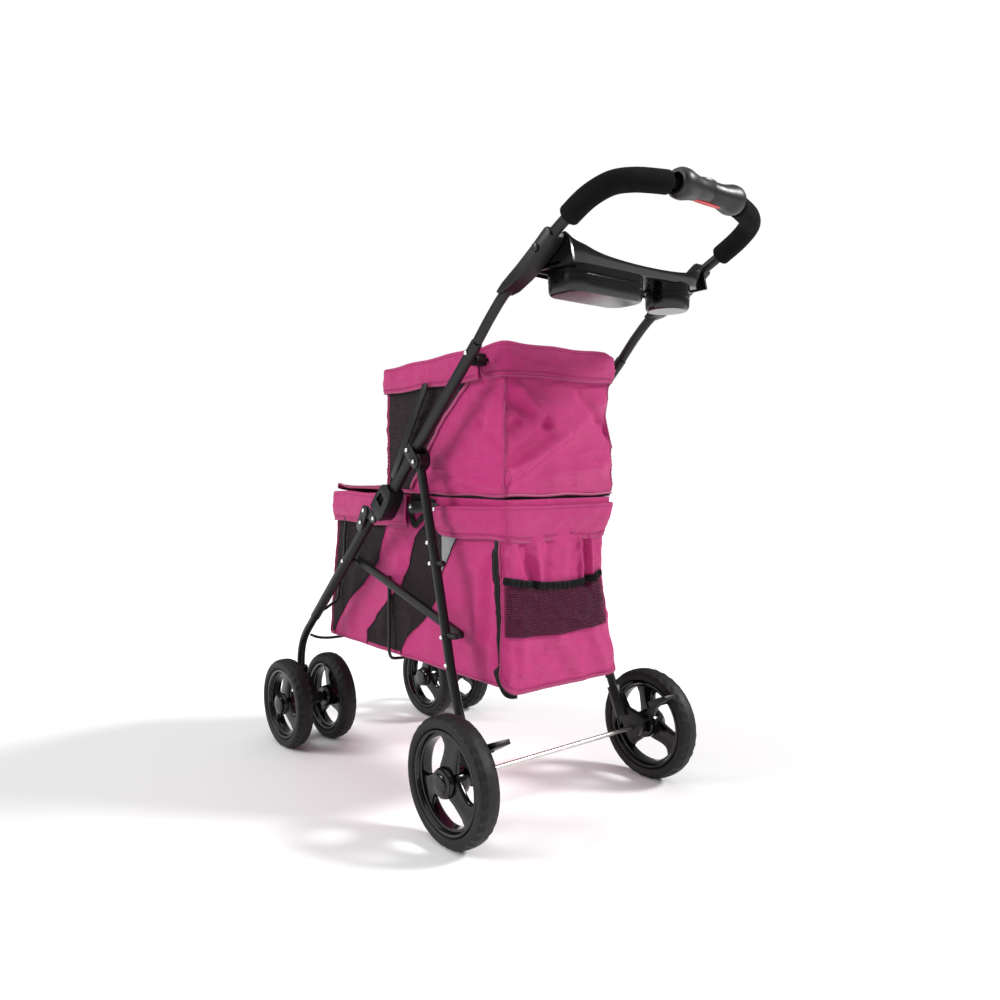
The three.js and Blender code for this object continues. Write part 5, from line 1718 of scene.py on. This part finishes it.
class STROLLER_OT_pads(bpy.types.Operator):
    """Stuffs the two floor pads and lays the front lid"""
    bl_idname = "stroller.pads"
    bl_label = "Pads and lid"

    def execute(self, context):
        for name, node, body, keep in (("lower_floor_pad", "lower_pad", "front_frame", 0.16),
                                       ("upper_floor_pad", "upper_pad", "handle", 0.22)):
            low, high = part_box(node)
            pad = self.stuffed(name, low, high)
            finish_piece(pad, body, "pad_fabric", node)
            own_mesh(pad)
        self.lid()
        return {"FINISHED"}

    def stuffed(self, name, low, high):
        """A flat pad that swells under pressure and is then quilted."""
        slack = 0.003
        mid, size = (low + high) / 2, (high - low) / 2 - Vector((slack, slack, 0.0028))
        corner, rings = 0.022, []
        for rise, inset in ((-1, 0.004), (-0.5, 0.0), (0.5, 0.0), (1, 0.004)):
            ring = []
            for start, dx, dy in ((0, 1, 1), (90, -1, 1), (180, -1, -1), (270, 1, -1)):
                for k in range(7):
                    a = math.radians(start + 15 * k - (0.01 if k == 6 else 0))
                    ring.append(Vector((mid.x + dx * (size.x - corner) + (corner - inset) * math.cos(a),
                            mid.y + dy * (size.y - corner) + (corner - inset) * math.sin(a),
                            mid.z + rise * size.z)))
            rings.append(ring)
        vertices, faces = loft(rings)
        obj = outward(mesh_piece(name, vertices, faces, ["pad_cloth"]))
        remesh = obj.modifiers.new("Remesh", "REMESH")
        remesh.mode, remesh.voxel_size = "VOXEL", 0.005
        baked(obj)
        rest = np.array([v.co for v in obj.data.vertices])
        self.swell(obj, rest, 0.006)
        self.quilt(obj, mid)
        finer = obj.modifiers.new("Finer", "SUBSURF")
        finer.levels = finer.render_levels = 1
        baked(obj)
        obj.data.polygons.foreach_set("use_smooth", [True] * len(obj.data.polygons))
        layer = obj.data.uv_layers.new(name="Cloth")
        co = [obj.data.vertices[loop.vertex_index].co for loop in obj.data.loops]
        layer.data.foreach_set("uv", [c for v in co for c in (v.x, v.y)])
        return obj

    def swell(self, obj, rest, most):
        scene = bpy.context.scene
        cloth = obj.modifiers.new("Cloth", "CLOTH")
        cloth.settings.use_pressure = True
        cloth.settings.uniform_pressure_force = 4.0
        cloth.settings.effector_weights.gravity = 0.0
        cloth.settings.quality = 5
        cloth.collision_settings.use_collision = False
        cloth.collision_settings.use_self_collision = False
        for number in range(1, 21):
            scene.frame_set(number)
        baked(obj)
        scene.frame_set(1)
        moved = np.array([v.co for v in obj.data.vertices]) - rest
        reach = np.linalg.norm(moved, axis=1, keepdims=True)
        held = rest + moved * np.minimum(1.0, most / np.maximum(reach, 1e-9))
        obj.data.vertices.foreach_set("co", held.ravel())

    def quilt(self, obj, mid):
        """Presses sewn channels into the top and the bottom."""
        pitch = 0.062
        for vertex in obj.data.vertices:
            x, y = vertex.co.x - mid.x, vertex.co.y - mid.y
            near = min(abs(((x + y) / pitch) % 1 - 0.5), abs(((x - y) / pitch) % 1 - 0.5)) * pitch
            rise = vertex.co.z - mid.z
            vertex.co.z = mid.z + rise * (1 - 0.34 * math.exp(-(near / 0.0045) ** 2))

    def lid(self):
        grid, uvs = [], []
        for i in range(45):
            x, lip = 366 + 180 * min(i, 40) / 40 + 0.5 * max(0, i - 40), 2.0 * max(0, i - 40)
            row = []
            for k in range(41):
                side = abs(k / 20 - 1)
                y = 122 - 244 * k / 40
                crown = 2.2 * math.sin(math.pi * min(i, 40) / 40) * math.cos(math.pi * (k / 40 - 0.5))
                curl = 6.5 * smooth((i / 40 - 0.75) / 0.25) * side ** 6
                row.append(Vector((x, y,
                                   537.5 + crown + curl - lip + 1.8 * ripple(x, y, 36,
                                       3.0) * math.sin(math.pi * k / 40))))
            grid.append(row)
            uvs.append([(q.x, q.y) for q in row])
        lid = outward(grid_piece("front_lid", grid, lambda i, k: 0, ["collar_cloth"], uvs, thickness=2.0,
                                 wall_side=0.0))
        finish_piece(lid, "lower_lid", "basket_fabric", "lower_lid")
        edge = [grid[0][k] for k in range(40)] + [grid[i][40] for i in range(44)] + [grid[44][40 - k]
                for k in range(40)] + [grid[44 - i][0] for i in range(44)]
        binding = placed("front_lid_binding", tube_data(edge, 1.9, 8, closed=True), ["piping_cloth"])
        finish_piece(binding, "lower_lid", "basket_fabric")
        inner = [[(grid[i][k] + Vector((0, 0, 1.3)), (0, 0, 1)) for i, k in run] for run in
                 ([(3, k) for k in range(2, 39)], [(38, k) for k in range(2, 39)],
                  [(i, 2) for i in range(3, 39)], [(i, 38) for i in range(3, 39)])]
        seam = repeats("front_lid_stitches", "Along path", inner, "seam_thread", spacing=4.4, length=2.9,
                       width=0.9, height=0.7)
        finish_piece(seam, "lower_lid", "basket_fabric")


class STROLLER_PT_panel(bpy.types.Panel):
    """Lists the steps that build the stroller"""
    bl_label = "Stroller"
    bl_idname = "STROLLER_PT_panel"
    bl_space_type = "VIEW_3D"
    bl_region_type = "UI"
    bl_category = "Stroller"

    def draw(self, context):
        for step in STEPS:
            self.layout.operator(step.bl_idname)
        for settings in (context.scene.stroller_frame, context.scene.stroller_fabric):
            for label in settings.__annotations__:
                self.layout.prop(settings, label)


STEPS = (STROLLER_OT_materials, STROLLER_OT_stage, STROLLER_OT_frame, STROLLER_OT_rivets,
         STROLLER_OT_wheels, STROLLER_OT_handle,
         STROLLER_OT_lower_basket, STROLLER_OT_upper_basket, STROLLER_OT_pads)
CLASSES = (StrollerFrameSettings, StrollerFabricSettings, *STEPS, STROLLER_PT_panel)


def register():
    for item in CLASSES:
        bpy.utils.register_class(item)
    bpy.types.Scene.stroller_frame = PointerProperty(type=StrollerFrameSettings)
    bpy.types.Scene.stroller_fabric = PointerProperty(type=StrollerFabricSettings)


def unregister():
    del bpy.types.Scene.stroller_fabric
    del bpy.types.Scene.stroller_frame
    for item in reversed(CLASSES):
        bpy.utils.unregister_class(item)


def main():
    register()
    for step in STEPS:
        group, name = step.bl_idname.split(".")
        getattr(getattr(bpy.ops, group), name)()


if __name__ == "__main__":
    main()
